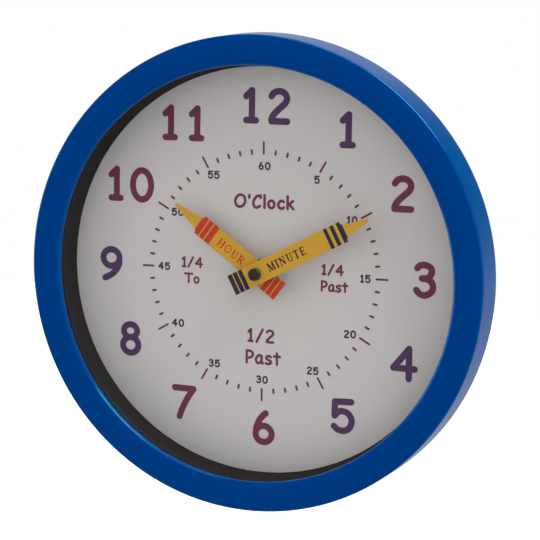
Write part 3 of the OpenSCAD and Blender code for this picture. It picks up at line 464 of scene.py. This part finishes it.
# %% The rounded characters
ROUND = {
    "0": halves(0.34, 0.5, 0.34, 0.5),
    "1": [line((0.21, 1), (0.20, 0)), line((0.21, 1), (0, 0.80)), line((0, 0), (0.35, 0))],
    "2": [smooth((0, 0.835), (0.10, 0.95), (0.29, 1), (0.47, 0.93), (0.55, 0.77), (0.48, 0.60),
                 (0.30, 0.44), (0.10, 0.24), (0.01, 0.09), (0, 0)),
          line((0, 0.0), (0.56, 0.0))],
    "3": [smooth((0.02, 0.89), (0.12, 0.98), (0.28, 1), (0.46, 0.93), (0.52, 0.79), (0.45, 0.63),
                 (0.34, 0.565), (0.19, 0.555)),
          smooth((0.19, 0.555), (0.36, 0.54), (0.51, 0.45), (0.565, 0.28), (0.50, 0.11), (0.30, 0.0),
                 (0.12, 0.04), (0, 0.16))],
    "4": [line((0.535, 1), (0, 0.345)), line((0, 0.345), (0.73, 0.33)), line((0.535, 1), (0.535, 0))],
    "5": [line((0.03, 0.98), (0.60, 1.0)), line((0.03, 0.98), (0.02, 0.50)),
          smooth((0.02, 0.50), (0.14, 0.625), (0.30, 0.67), (0.50, 0.60), (0.625, 0.39), (0.58, 0.16),
                 (0.44, 0.03), (0.28, 0.0), (0.11, 0.045), (0, 0.14))],
    "6": [*halves(0.29, 0.28, 0.29, 0.28),
          smooth((0, 0.28), (0.03, 0.50), (0.13, 0.74), (0.25, 0.90), (0.36, 1))],
    "7": [line((0, 1), (0.70, 0.985)), smooth((0.70, 0.985), (0.50, 0.69), (0.31, 0.33), (0.18, 0))],
    "8": halves(0.285, 0.775, 0.25, 0.225) + halves(0.29, 0.275, 0.29, 0.275),
    "9": [*halves(0.31, 0.71, 0.305, 0.29),
          smooth((0.615, 0.72), (0.60, 0.50), (0.50, 0.31), (0.32, 0.13), (0.07, 0.0))],
    "/": [line((0, -0.04), (0.55, 1.04))],
    "O": halves(0.45, 0.5, 0.44, 0.5, lean=0.10),
    "'": [line((0, 0.80), (0.03, 1.0))],
    "C": [line((0.64, 1.0), (0.65, 0.82)),
          smooth((0.64, 0.97), (0.48, 0.98), (0.28, 0.90), (0.10, 0.68), (0.0, 0.40), (0.05, 0.14),
                 (0.22, 0.0), (0.42, 0.03), (0.60, 0.14))],
    "l": [line((0, 1.04), (0, 0))],
    "o": halves(0.26, 0.31, 0.26, 0.31),
    "c": [smooth((0.48, 0.56), (0.38, 0.63), (0.27, 0.64), (0.10, 0.54), (0.0, 0.32), (0.08, 0.09),
                 (0.25, 0.0), (0.40, 0.03), (0.48, 0.10))],
    "k": [line((0.0, 1.03), (0.0, 0)), line((0.46, 0.66), (0.06, 0.32)), line((0.14, 0.38), (0.50, 0.0))],
    "P": [line((0.0, 1), (0.0, 0)),
          smooth((0, 1), (0.22, 1.0), (0.45, 0.92), (0.55, 0.73), (0.46, 0.52), (0.25, 0.42), (0.02, 0.39))],
    "a": [smooth((0.50, 0.60), (0.33, 0.68), (0.14, 0.58), (0.0, 0.32), (0.07, 0.08), (0.22, 0.0),
                 (0.38, 0.08), (0.50, 0.30)),
          smooth((0.50, 0.62), (0.50, 0.32), (0.53, 0.12), (0.60, 0))],
    "s": [smooth((0.44, 0.58), (0.34, 0.65), (0.18, 0.64), (0.06, 0.55), (0.07, 0.41), (0.24, 0.33),
                 (0.42, 0.24), (0.44, 0.10), (0.28, 0.0), (0.12, 0.0), (0, 0.05))],
    "t": [line((0.25, 0.93), (0.26, 0)), line((0, 0.66), (0.52, 0.66))],
    "T": [line((0, 0.99), (0.92, 0.99)), line((0.47, 0.99), (0.47, 0))],
}
print(len(ROUND), "characters")

# %% [markdown]
# ## Setting a line
# A line of print puts even gaps between the strokes of its characters, and not between boxes
# of one width, so a 1 stands as close to its neighbour as it does on the real dial.


# %% A line of print
def set_line(text, centre, foot, height, width, gap):
    """Outlines of a line of print, centred on a point, with even gaps between the strokes."""
    glyphs = [ROUND[c] for c in text]
    spans = [(min(s[:, 0].min() for s in g), max(s[:, 0].max() for s in g)) for g in glyphs]
    total = sum(b - a for a, b in spans) + gap / height * (len(text) - 1)
    x, out = -total / 2, []
    for g, (a, b) in zip(glyphs, spans):
        placed = [(s - [a, 0] + [x, 0]) * height + [centre, foot] for s in g]
        out += [ribbon(stroke, width) for stroke in placed]
        x += b - a + gap / height
    return out


print("the number 12 has", len(set_line("12", 0, 0, 1, 0.2, 0.1)), "strokes")

# %% [markdown]
# ## The printed dial
# The card carries sixty rounded marks, long ones every five minutes, the minutes in small
# navy numbers inside them, and the hours in big numbers that change between purple and
# maroon. The words tell a child how to say the time. Each colour of ink was one screen in
# printing, so each is one piece here. The dial's print sits 0.6 mm off the hands' axis on
# the real clock, as cards often do.

# %% Marks, numbers and words on the dial
PRINT_AT = np.array([0.6, -0.3])
MARK_FOOT, LONG_MARK, SHORT_MARK = 75.5, (84.1, 0.66), (79.1, 0.74)


def mark(minute):
    """A short rounded stroke that points to the axis; every fifth one is long and thin."""
    tip, half = SHORT_MARK if minute % 5 else LONG_MARK
    a = math.radians(6 * minute)
    way = np.array([math.sin(a), math.cos(a)])
    return ribbon(np.array([way * (MARK_FOOT + half), way * (tip - half)]) + PRINT_AT, 2 * half)


def texts(places, height, width, gap):
    """Outlines of short texts of one size, each centred on its own point."""
    return [o for text, x, y in places for o in set_line(text, x, y - height / 2, height, width, gap)]


print("a mark has", len(mark(0)), "points")

# %% [markdown]
# ## Where the texts stand
# Every hour digit and every minute number has its own centre, read off the photograph, because
# on the real dial they don't stand exactly on a circle. A word has its centre, foot, height,
# stroke width and gap.

# %% The texts and their places
HOUR_SIZE, MINUTE_SIZE = (19.0, 4.3, 0), (4.2, 1.12, 1.75)
HOURS_PURPLE = [("1", -8.2, 106.3), ("2", 10.9, 106.1), ("1", 56.5, 92.8), ("4", 95.8, -52.6),
                ("5", 56.0, -89.6), ("8", -92.1, -49.8), ("9", -105.9, -0.6)]
HOURS_MAROON = [("2", 93.1, 54.2), ("3", 108.2, 1.0), ("6", 2.2, -101.7), ("7", -53.7, -89.5),
                ("1", -102.5, 52.7), ("0", -83.9, 52.3), ("1", -64.0, 93.7), ("1", -45.6, 93.7)]
MINUTES = [("60", 1.3, 68.0), ("5", 36.6, 60.7), ("10", 60.3, 36.2), ("15", 69.6, -0.4),
           ("20", 60.0, -36.4), ("25", 35.3, -61.8), ("30", 0.8, -70.2), ("35", -32.4, -61.9),
           ("40", -58.2, -36.9), ("45", -68.1, 0.0), ("50", -58.6, 35.9), ("55", -33.5, 61.0)]
WORDS = [("O'Clock", 1.2, 41.3, 7.7, 1.85, 2.65), ("1/2", -0.3, -45.4, 7.6, 1.72, 2.9),
         ("Past", 1.5, -59.6, 7.8, 1.72, 2.1), ("1/4", -48.2, 0.5, 6.0, 1.4, 1.9),
         ("To", -48.6, -9.8, 5.8, 1.4, 1.3), ("1/4", 47.8, 1.0, 5.9, 1.45, 2.0),
         ("Past", 49.2, -9.6, 5.9, 1.45, 1.5)]
print(len(MINUTES), "minute numbers and", len(WORDS), "words")

# %% Print the dial
purple = texts(HOURS_PURPLE, *HOUR_SIZE)
maroon = texts(HOURS_MAROON, *HOUR_SIZE) + [mark(k) for k in range(60)]
maroon += [o for word in WORDS for o in set_line(*word)]
navy = texts(MINUTES, *MINUTE_SIZE)
for colour, outlines, ink in (("purple", purple, purple_ink), ("maroon", maroon, maroon_ink),
                              ("navy", navy, navy_ink)):
    piece(f"dial_print_{colour}", [ink_shell(outlines, DIAL_Z)], ink)

# %% [markdown]
# ## The hands
# Both hands are stamped from thin sheet, painted yellow, and printed with the coloured bands
# of a wax crayon and a word in a book type with thick stems and thin serifs. The sheet itself
# is exact in CAD, so it only gets its paint. Bands and letters are drawn along the hand, with
# u from the axis to the tip and v to the hand's right, and then turned to the hand's time.

# %% Bands across a hand
HOUR_AT, MINUTE_AT = 306.4, 62.7
HAND_HALF, COLLAR_HALF = 6.77, 4.87


def on_hand(outlines, angle):
    """Turns (v, u) points of a hand that shows 12 o'clock by its clock angle."""
    a = math.radians(angle)
    return [np.column_stack([o[:, 0] * math.cos(a) + o[:, 1] * math.sin(a),
                             -o[:, 0] * math.sin(a) + o[:, 1] * math.cos(a)]) for o in outlines]


def band(u0, u1):
    """A bar right across a hand, from u0 to u1."""
    return np.array([[-HAND_HALF, u0], [HAND_HALF, u0], [HAND_HALF, u1], [-HAND_HALF, u1]])


def shouldered(u0, shoulder, top):
    """A band whose front end narrows to the collar."""
    return np.array([[-HAND_HALF, u0], [HAND_HALF, u0], [HAND_HALF, shoulder],
                     [COLLAR_HALF, shoulder], [COLLAR_HALF, top], [-COLLAR_HALF, top],
                     [-COLLAR_HALF, shoulder], [-HAND_HALF, shoulder]])


red_bands = [shouldered(46.4, 49.57, 50.57), band(42.3, 45.6), band(37.4, 41.5),
             band(-18.47, -15.25), band(-14.45, -11.3), band(-10.5, -7.1)]
navy_bands = [shouldered(63.35, 65.87, 66.87), band(58.6, 61.25), band(53.95, 56.4),
              band(-17.87, -14.8), band(-14.0, -11.0), band(-10.2, -7.3)]
print(len(red_bands), "red and", len(navy_bands), "navy bands")

# %% [markdown]
# ## Book type
# The words on the hands have stems of two widths and thin serifs. Each letter is a list of
# strokes with their own width, for a height of 1, and a serif is one more short thin stroke.

# %% Serif letters
THICK, THIN, HAIR, BOWL = 0.185, 0.10, 0.095, 0.13


def stem(x):
    """A thick upright stroke, a little shorter than the letter."""
    return (THICK, line((x, 0.02), (x, 0.98)))


def thin(*ends):
    """A thin straight stroke."""
    return (THIN, line(*ends))


def serif(x, y, reach=0.13):
    """A short thin stroke across the end of a stem."""
    return thin((x - reach, y), (x + reach, y))


BOOK = {
    "H": [stem(0.17), stem(0.73), thin((0.17, 0.5), (0.73, 0.5)), serif(0.17, 0.03), serif(0.17, 0.97),
          serif(0.73, 0.03), serif(0.73, 0.97)],
    "O": [(BOWL, s) for s in halves(0.42, 0.5, 0.38, 0.46)],
    "U": [(THICK, line((0.18, 0.96), (0.18, 0.32))),
          (0.12, smooth((0.18, 0.34), (0.20, 0.15), (0.33, 0.05), (0.48, 0.04), (0.62, 0.13), (0.67, 0.34))),
          (HAIR, line((0.67, 0.32), (0.67, 0.96))), serif(0.18, 0.97), serif(0.67, 0.97, 0.11)],
    "R": [stem(0.17), thin((0.17, 0.97), (0.40, 0.97)), thin((0.17, 0.5), (0.40, 0.5)),
          (BOWL, smooth((0.38, 0.96), (0.54, 0.92), (0.61, 0.74), (0.54, 0.55), (0.38, 0.5))),
          (THICK, line((0.40, 0.5), (0.68, 0.05))), serif(0.17, 0.03), serif(0.10, 0.97, 0.08),
          serif(0.72, 0.03, 0.08)],
    "M": [(HAIR, line((0.15, 0.02), (0.17, 0.96))), (THICK, line((0.19, 0.95), (0.48, 0.06))),
          (HAIR, line((0.48, 0.06), (0.80, 0.95))), stem(0.82), serif(0.14, 0.03, 0.12),
          serif(0.12, 0.97, 0.09), serif(0.82, 0.03), serif(0.87, 0.97, 0.09)],
    "I": [stem(0.16), serif(0.16, 0.03), serif(0.16, 0.97)],
    "N": [(HAIR, line((0.15, 0.02), (0.15, 0.96))), (THICK, line((0.16, 0.95), (0.68, 0.06))),
          (HAIR, line((0.70, 0.04), (0.70, 0.98))), serif(0.15, 0.03, 0.12), serif(0.10, 0.97, 0.09),
          serif(0.70, 0.97, 0.12)],
    "T": [stem(0.36), thin((0.02, 0.96), (0.70, 0.96)), serif(0.36, 0.03), thin((0.03, 0.96), (0.03, 0.80)),
          thin((0.69, 0.96), (0.69, 0.80))],
    "E": [stem(0.17), thin((0.10, 0.97), (0.60, 0.97)), thin((0.17, 0.51), (0.46, 0.51)),
          thin((0.08, 0.03), (0.64, 0.03)), thin((0.59, 0.97), (0.60, 0.80)),
          thin((0.63, 0.03), (0.66, 0.22)), thin((0.46, 0.43), (0.46, 0.59))],
}
BOOK_WIDTH = {"H": 0.90, "O": 0.84, "U": 0.82, "R": 0.80, "M": 0.98, "I": 0.32, "N": 0.85, "T": 0.72,
              "E": 0.72}
print(len(BOOK), "serif letters")

# %% [markdown]
# ## Setting the words
# HOUR reads towards the axis and MINUTE towards the tip, so that at the time the clock shows
# both read from left to right.


# %% The words of the hands
def book_line(text, height, spread):
    """Outlines of a word along +x with its foot at 0, and even room between its letters."""
    x, out = 0, []
    for c in text:
        out += [ribbon(s * height + [x, 0], w * height, 4) for w, s in BOOK[c]]
        x += (BOOK_WIDTH[c] + spread) * height
    print(text, "ends at", round(x, 2))
    return out


def along_hand(outlines, start, foot, sign):
    """Lays a word along a hand: its x runs to the tip (sign 1) or to the axis (sign -1)."""
    return [np.column_stack([-sign * (o[:, 1] + foot), start + sign * o[:, 0]]) for o in outlines]


WORD_HEIGHT, HOUR_SPREAD, MINUTE_SPREAD = 5.2, 0.237, 0.20
HOUR_START, HOUR_FOOT, MINUTE_START, MINUTE_FOOT = 33.1, -2.95, 9.6, -2.45
hour_word = along_hand(book_line("HOUR", WORD_HEIGHT, HOUR_SPREAD), HOUR_START, HOUR_FOOT, -1)
minute_word = along_hand(book_line("MINUTE", WORD_HEIGHT, MINUTE_SPREAD), MINUTE_START, MINUTE_FOOT, 1)

# %% [markdown]
# ## The hands' print
# Each hand gets its bands and its word as two thin layers, which ride on the hand's own body.

# %% Print both hands
HOUR_TOP, MINUTE_TOP = 30.6, 35.0
for part, angle, top, layers in (
        ("hour", HOUR_AT, HOUR_TOP, {"bands": (red_bands, band_red), "word": (hour_word, band_red)}),
        ("minute", MINUTE_AT, MINUTE_TOP, {"bands": (navy_bands, band_navy),
                                           "word": (minute_word, word_navy)})):
    for layer, (outlines, ink) in layers.items():
        piece(f"{part}_hand_{layer}", [ink_shell(on_hand(outlines, angle), top)], ink,
              f"{part}_part")

# %% [markdown]
# ## The cap on the hands
# A small black nut with a closed, softly rounded front holds the minute hand. It is turned
# from a section with a round edge and a face that falls very slightly to its rim, because
# that is what makes a small black disc read as moulded and not as a hole.

# %% The cap
CAP_R, CAP_ROUND, CAP_BACK, CAP_FRONT = 4.0, 0.8, 35.0, 38.2
STUD_R, STUD_DEEP, CAP_CHAMFER, CAP_FALL, FACE_R, FACE_FALL = 1.22, 2.4, 0.15, 0.12, 1.5, 0.02
stud_end = CAP_BACK + STUD_DEEP
cap_section = np.vstack([
    [[0, stud_end], [STUD_R, stud_end], [STUD_R, CAP_BACK], [CAP_R - CAP_CHAMFER, CAP_BACK],
     [CAP_R, CAP_BACK + CAP_CHAMFER]],
    arc((CAP_R - CAP_ROUND, CAP_FRONT - CAP_ROUND - CAP_FALL), CAP_ROUND, 0, 84, 12),
    [[FACE_R, CAP_FRONT - FACE_FALL], [0, CAP_FRONT]]])
CAP_STEPS = 96
cap = piece("cap_nut", [turned(cap_section, CAP_STEPS)], cap_black, "minute_part")
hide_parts("hand_cap")

# %% [markdown]
# ## The lens
# A clear disc covers the dial. Real glass shaders hold back lamps, so a dial behind one goes
# dark and grainy. For the rays that carry light to the dial the disc is plainly transparent,
# and for what the eye sees it is clear plastic with its faint reflection.

# %% The lens's material
def math_node(tree, operation, *values):
    """The result of a math node on other nodes' outputs and plain numbers."""
    n = tree.nodes.new("ShaderNodeMath")
    n.operation = operation
    for socket, value in zip(n.inputs, values):
        if isinstance(value, float):
            socket.default_value = value
        else:
            tree.links.new(value, socket)
    return n.outputs[0]


LENS_IOR = 1.49
clear = bpy.data.materials.new("clear_lens")
clear.use_nodes = True
tree = clear.node_tree
glass = tree.nodes["Principled BSDF"]
for socket, number in (("Base Color", (1, 1, 1, 1)), ("Transmission Weight", 1), ("Roughness", 0),
                       ("IOR", LENS_IOR)):
    glass.inputs[socket].default_value = number
paths = tree.nodes.new("ShaderNodeLightPath")
lights = math_node(tree, "MAXIMUM", paths.outputs["Is Shadow Ray"], paths.outputs["Is Diffuse Ray"])
through = tree.nodes.new("ShaderNodeBsdfTransparent")
choose = tree.nodes.new("ShaderNodeMixShader")
tree.links.new(lights, choose.inputs["Fac"])
tree.links.new(glass.outputs["BSDF"], choose.inputs[1])
tree.links.new(through.outputs["BSDF"], choose.inputs[2])
tree.links.new(choose.outputs["Shader"], tree.nodes["Material Output"].inputs["Surface"])
print(clear.name, "has", len(tree.nodes), "nodes")

# %% [markdown]
# ## Smooth copies of CAD pieces
# A CAD mesh comes as loose flat triangles. That is right for the wheels inside the closed
# case, but the back shell, the case and the screws are seen from behind. For those a copy
# stands in for its node: its points are merged, the triangles of each flat face become one
# face, and it is shaded smoothly up to an angle. A weighted normal modifier then lets the
# large faces set the normals, so that they stay flat beside their small rounded edges.


# %% Smooth copies for the view from behind
WELD, FLAT, KEPT_SHARP, AREA_WEIGHT = 2e-6, 0.3, 28, 90
body_of = {n: b for b, ns in frame["record"]["behaviour"]["bodies"].items() for n in ns}


def smooth_copy(node, material):
    """A copy of a CAD node: points welded, flat faces joined, smooth below the kept angle."""
    mesh = frame["nodes"][node].data.copy()
    bm = bmesh.new()
    bm.from_mesh(mesh)
    bmesh.ops.remove_doubles(bm, verts=bm.verts, dist=WELD)
    bmesh.ops.dissolve_limit(bm, angle_limit=math.radians(FLAT), verts=bm.verts, edges=bm.edges)
    bm.to_mesh(mesh)
    bm.free()
    mesh.shade_smooth()
    mesh.set_sharp_from_angle(angle=math.radians(KEPT_SHARP))
    mesh.materials.clear()
    mesh.materials.append(material)
    obj = add_object(node + "_finished", mesh)
    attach(obj, body_of[node])
    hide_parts(node)
    even = obj.modifiers.new("even_normals", "WEIGHTED_NORMAL")
    even.keep_sharp = True
    even.weight = AREA_WEIGHT
    print(f"{obj.name}: {len(mesh.polygons)} faces")


for node, material in (("back_shell", shell_black), ("frame_screws", steel),
                       ("movement_case", case_black), ("movement_cover", case_black),
                       ("setting_knob", knob_grey), ("battery_cell", cell_jacket)):
    smooth_copy(node, material)

# %% [markdown]
# ## The other CAD pieces
# The rest keep their CAD mesh: the lens, the card and the hands are flat, and the small pieces
# stand inside the case or under the hands.

# %% Paint the other CAD pieces
PAINT = {
    "lens": clear, "dial": card_white, "hour_hand": hand_yellow, "minute_hand": hand_yellow,
    "middle_plate": plate_grey, "threaded_bushing": brass, "minute_arbor": brass,
    "mounting_nut": black_steel, "nut_washer": black_steel, "rubber_washer": rubber,
    "contact_positive": steel, "contact_negative": steel, "quartz_crystal": steel,
    "clutch_spring": steel, "circuit_board": board_green, "coil_winding": copper,
    "coil_core": iron, "stator": iron, "rotor": magnet_grey, "coil_bobbin": nylon,
    "intermediate_wheel": nylon, "seconds_wheel": nylon, "third_wheel": nylon,
    "centre_wheel": nylon, "minute_wheel": nylon, "hour_wheel": nylon,
}
for node, material in PAINT.items():
    mesh = frame["nodes"][node].data
    mesh.materials.clear()
    mesh.materials.append(material)
print(len(PAINT), "CAD nodes painted")

# %% [markdown]
# ## The studio
# The photograph was taken against pure white, and most of its light comes from all around, so
# the world gives surfaces a plain ambient light. It answers by kind of ray. The eye sees white
# everywhere. A mirror ray meets a dim room in front, which keeps the lens clear and the blue
# deep, pale surroundings behind and beside the clock, a darker cool patch at its right, and a
# white strip at the right edge of the front. Soft steps of the ray's direction part these.


# %% Soft steps and blends
def ramp(tree, value, start, end):
    """A soft step: 0 up to the start and 1 from the end on."""
    n = tree.nodes.new("ShaderNodeMapRange")
    n.interpolation_type = "SMOOTHSTEP"
    n.inputs["From Min"].default_value = start
    n.inputs["From Max"].default_value = end
    tree.links.new(value, n.inputs["Value"])
    return n.outputs["Result"]


def blend(tree, factor, low, high):
    """The colour low where the factor is 0 and high where it is 1."""
    n = tree.nodes.new("ShaderNodeMix")
    n.data_type = "RGBA"
    tree.links.new(factor, n.inputs["Factor"])
    for socket, source in (("A", low), ("B", high)):
        if isinstance(source, tuple):
            n.inputs[socket].default_value = (*source, 1)
        else:
            tree.links.new(source, n.inputs[socket])
    return n.outputs["Result"]


WHITE, AMBIENT, DIM_ROOM = (1.0, 1.0, 1.0), (0.82, 0.82, 0.82), (0.02, 0.02, 0.02)
PALE_SIDE, COOL_SIDE = (0.42, 0.46, 0.48), (0.0, 0.13, 0.07)
print("an ambient of", AMBIENT[0], "and a dim room of", DIM_ROOM[0])

# %% [markdown]
# ## The world's colours by direction
# A ray's direction has X to the right, Y away from the viewer and Z up. What lies in front of
# the clock has a low Y, and the cool patch begins where X and a share of Z add up to enough.

# %% The world
FRONT_TO_BACK, PALE_TO_COOL, COOL_RISE, SIDES_TO_TOP = (-0.6, 0.0), (0.14, 0.45), 0.65, (0.35, 0.75)
STRIP_FROM, STRIP_TO, STRIP_RIGHT = (-0.85, -0.45), (0.35, 0.05), (0.1, 0.45)
world = bpy.data.worlds.new("studio")
bpy.context.scene.world = world
world.use_nodes = True
tree = world.node_tree
paths = tree.nodes.new("ShaderNodeLightPath")
where = tree.nodes.new("ShaderNodeTexCoord")
axes = tree.nodes.new("ShaderNodeSeparateXYZ")
tree.links.new(where.outputs["Generated"], axes.inputs["Vector"])
x, y, z = axes.outputs
to_right = math_node(tree, "MULTIPLY_ADD", z, COOL_RISE, x)
sides = blend(tree, ramp(tree, to_right, *PALE_TO_COOL), PALE_SIDE, COOL_SIDE)
sides = blend(tree, ramp(tree, z, *SIDES_TO_TOP), sides, DIM_ROOM)
white_strip = math_node(tree, "MULTIPLY", ramp(tree, y, *STRIP_FROM), ramp(tree, y, *STRIP_TO))
white_strip = math_node(tree, "MULTIPLY", white_strip, ramp(tree, x, *STRIP_RIGHT))
behind = ramp(tree, y, *FRONT_TO_BACK)
mirrored = blend(tree, white_strip, blend(tree, behind, DIM_ROOM, sides), WHITE)
colour = blend(tree, paths.outputs["Is Glossy Ray"], AMBIENT, mirrored)
seen_through = blend(tree, behind, DIM_ROOM, WHITE)
colour = blend(tree, paths.outputs["Is Transmission Ray"], colour, seen_through)
colour = blend(tree, paths.outputs["Is Camera Ray"], colour, WHITE)
tree.links.new(colour, tree.nodes["Background"].inputs["Color"])
print("the world has", len(tree.nodes), "nodes")

# %% [markdown]
# ## Lamps
# Two soft lamps shape the light: a weak broad one at the left, which lets the hands throw a
# soft shadow to the right, and a small one at the upper right, whose image is the streak on
# the lower left of the lip. A third, wide and weak, hangs overhead and shows in gloss alone:
# it is the band of light that runs along the lip.


# %% Three soft lamps
def soft_lamp(name, place, size, power):
    """A square area lamp at a place in metres, turned to face the middle of the clock."""
    data = bpy.data.lights.new(name, "AREA")
    data.shape = "SQUARE"
    data.size, data.energy = size, power
    lamp = add_object(name, data)
    lamp.location = place
    lamp.rotation_euler = (Vector(MIDDLE) - Vector(place)).to_track_quat("-Z", "Y").to_euler()
    print(f"{name}: {size} m square, {power} W")
    return lamp


MIDDLE = (0, -0.03, -KEYHOLE_Y / 1000)
soft_lamp("left_softbox", (-1.45, -0.55, -0.2), 0.9, 5)
soft_lamp("right_softbox", (0.71, -0.18, 0.97), 0.6, 13)
overhead = soft_lamp("overhead_panel", (0.40, -0.17, 0.97), 1.3, 15)
overhead.visible_diffuse = False

# %% [markdown]
# ## The floor
# A white floor below the clock sends light up to it. To the eye it glows just enough to look
# as white as the world around it, and in gloss it is grey, which keeps the blue deep below.

# %% The floor
FLOOR_Z, FLOOR_GLOW = -0.46, 0.72
FLOOR_WHITE, FLOOR_IN_GLOSS = (0.85, 0.85, 0.85), (0.40, 0.40, 0.40)
FLOOR_CORNERS = ((-1.4, -0.2), (1.4, -0.2), (1.4, 2), (-1.4, 2))
ground = bpy.data.materials.new("white_floor")
ground.use_nodes = True
tree = ground.node_tree
tree.nodes.remove(tree.nodes["Principled BSDF"])
matt = tree.nodes.new("ShaderNodeBsdfDiffuse")
glow = tree.nodes.new("ShaderNodeEmission")
both = tree.nodes.new("ShaderNodeAddShader")
paths = tree.nodes.new("ShaderNodeLightPath")
grey = blend(tree, paths.outputs["Is Glossy Ray"], FLOOR_WHITE, FLOOR_IN_GLOSS)
tree.links.new(grey, matt.inputs["Color"])
seen = math_node(tree, "MAXIMUM", paths.outputs["Is Camera Ray"], paths.outputs["Is Transmission Ray"])
tree.links.new(math_node(tree, "MULTIPLY", seen, FLOOR_GLOW), glow.inputs["Strength"])
tree.links.new(matt.outputs["BSDF"], both.inputs[0])
tree.links.new(glow.outputs["Emission"], both.inputs[1])
tree.links.new(both.outputs["Shader"], tree.nodes["Material Output"].inputs["Surface"])
floor_mesh = bpy.data.meshes.new("floor")
floor_mesh.from_pydata([(x, y, FLOOR_Z) for x, y in FLOOR_CORNERS], [], [[0, 1, 2, 3]])
floor_mesh.materials.append(ground)
floor = add_object("floor", floor_mesh)

# %% [markdown]
# ## The camera
# The camera was worked out from the photograph: the sixty marks, the frame's outline and its
# inner edges fix its place, 1.24 m away, 20.6 degrees to the right and 8.1 degrees above.

# %% The camera
FOCAL, SENSOR = 129.07, 36
CAMERA_AT, CAMERA_TURN = (0.43237, -1.17250, 0.06899), (81.9436, -0.5217, 20.4534)
eye = bpy.data.cameras.new("camera")
eye.lens, eye.sensor_width = FOCAL, SENSOR
camera = add_object("camera", eye)
camera.location = CAMERA_AT
camera.rotation_euler = [math.radians(a) for a in CAMERA_TURN]
bpy.context.scene.camera = camera
bpy.context.scene.view_settings.view_transform = "Standard"
print("camera at", tuple(camera.location))
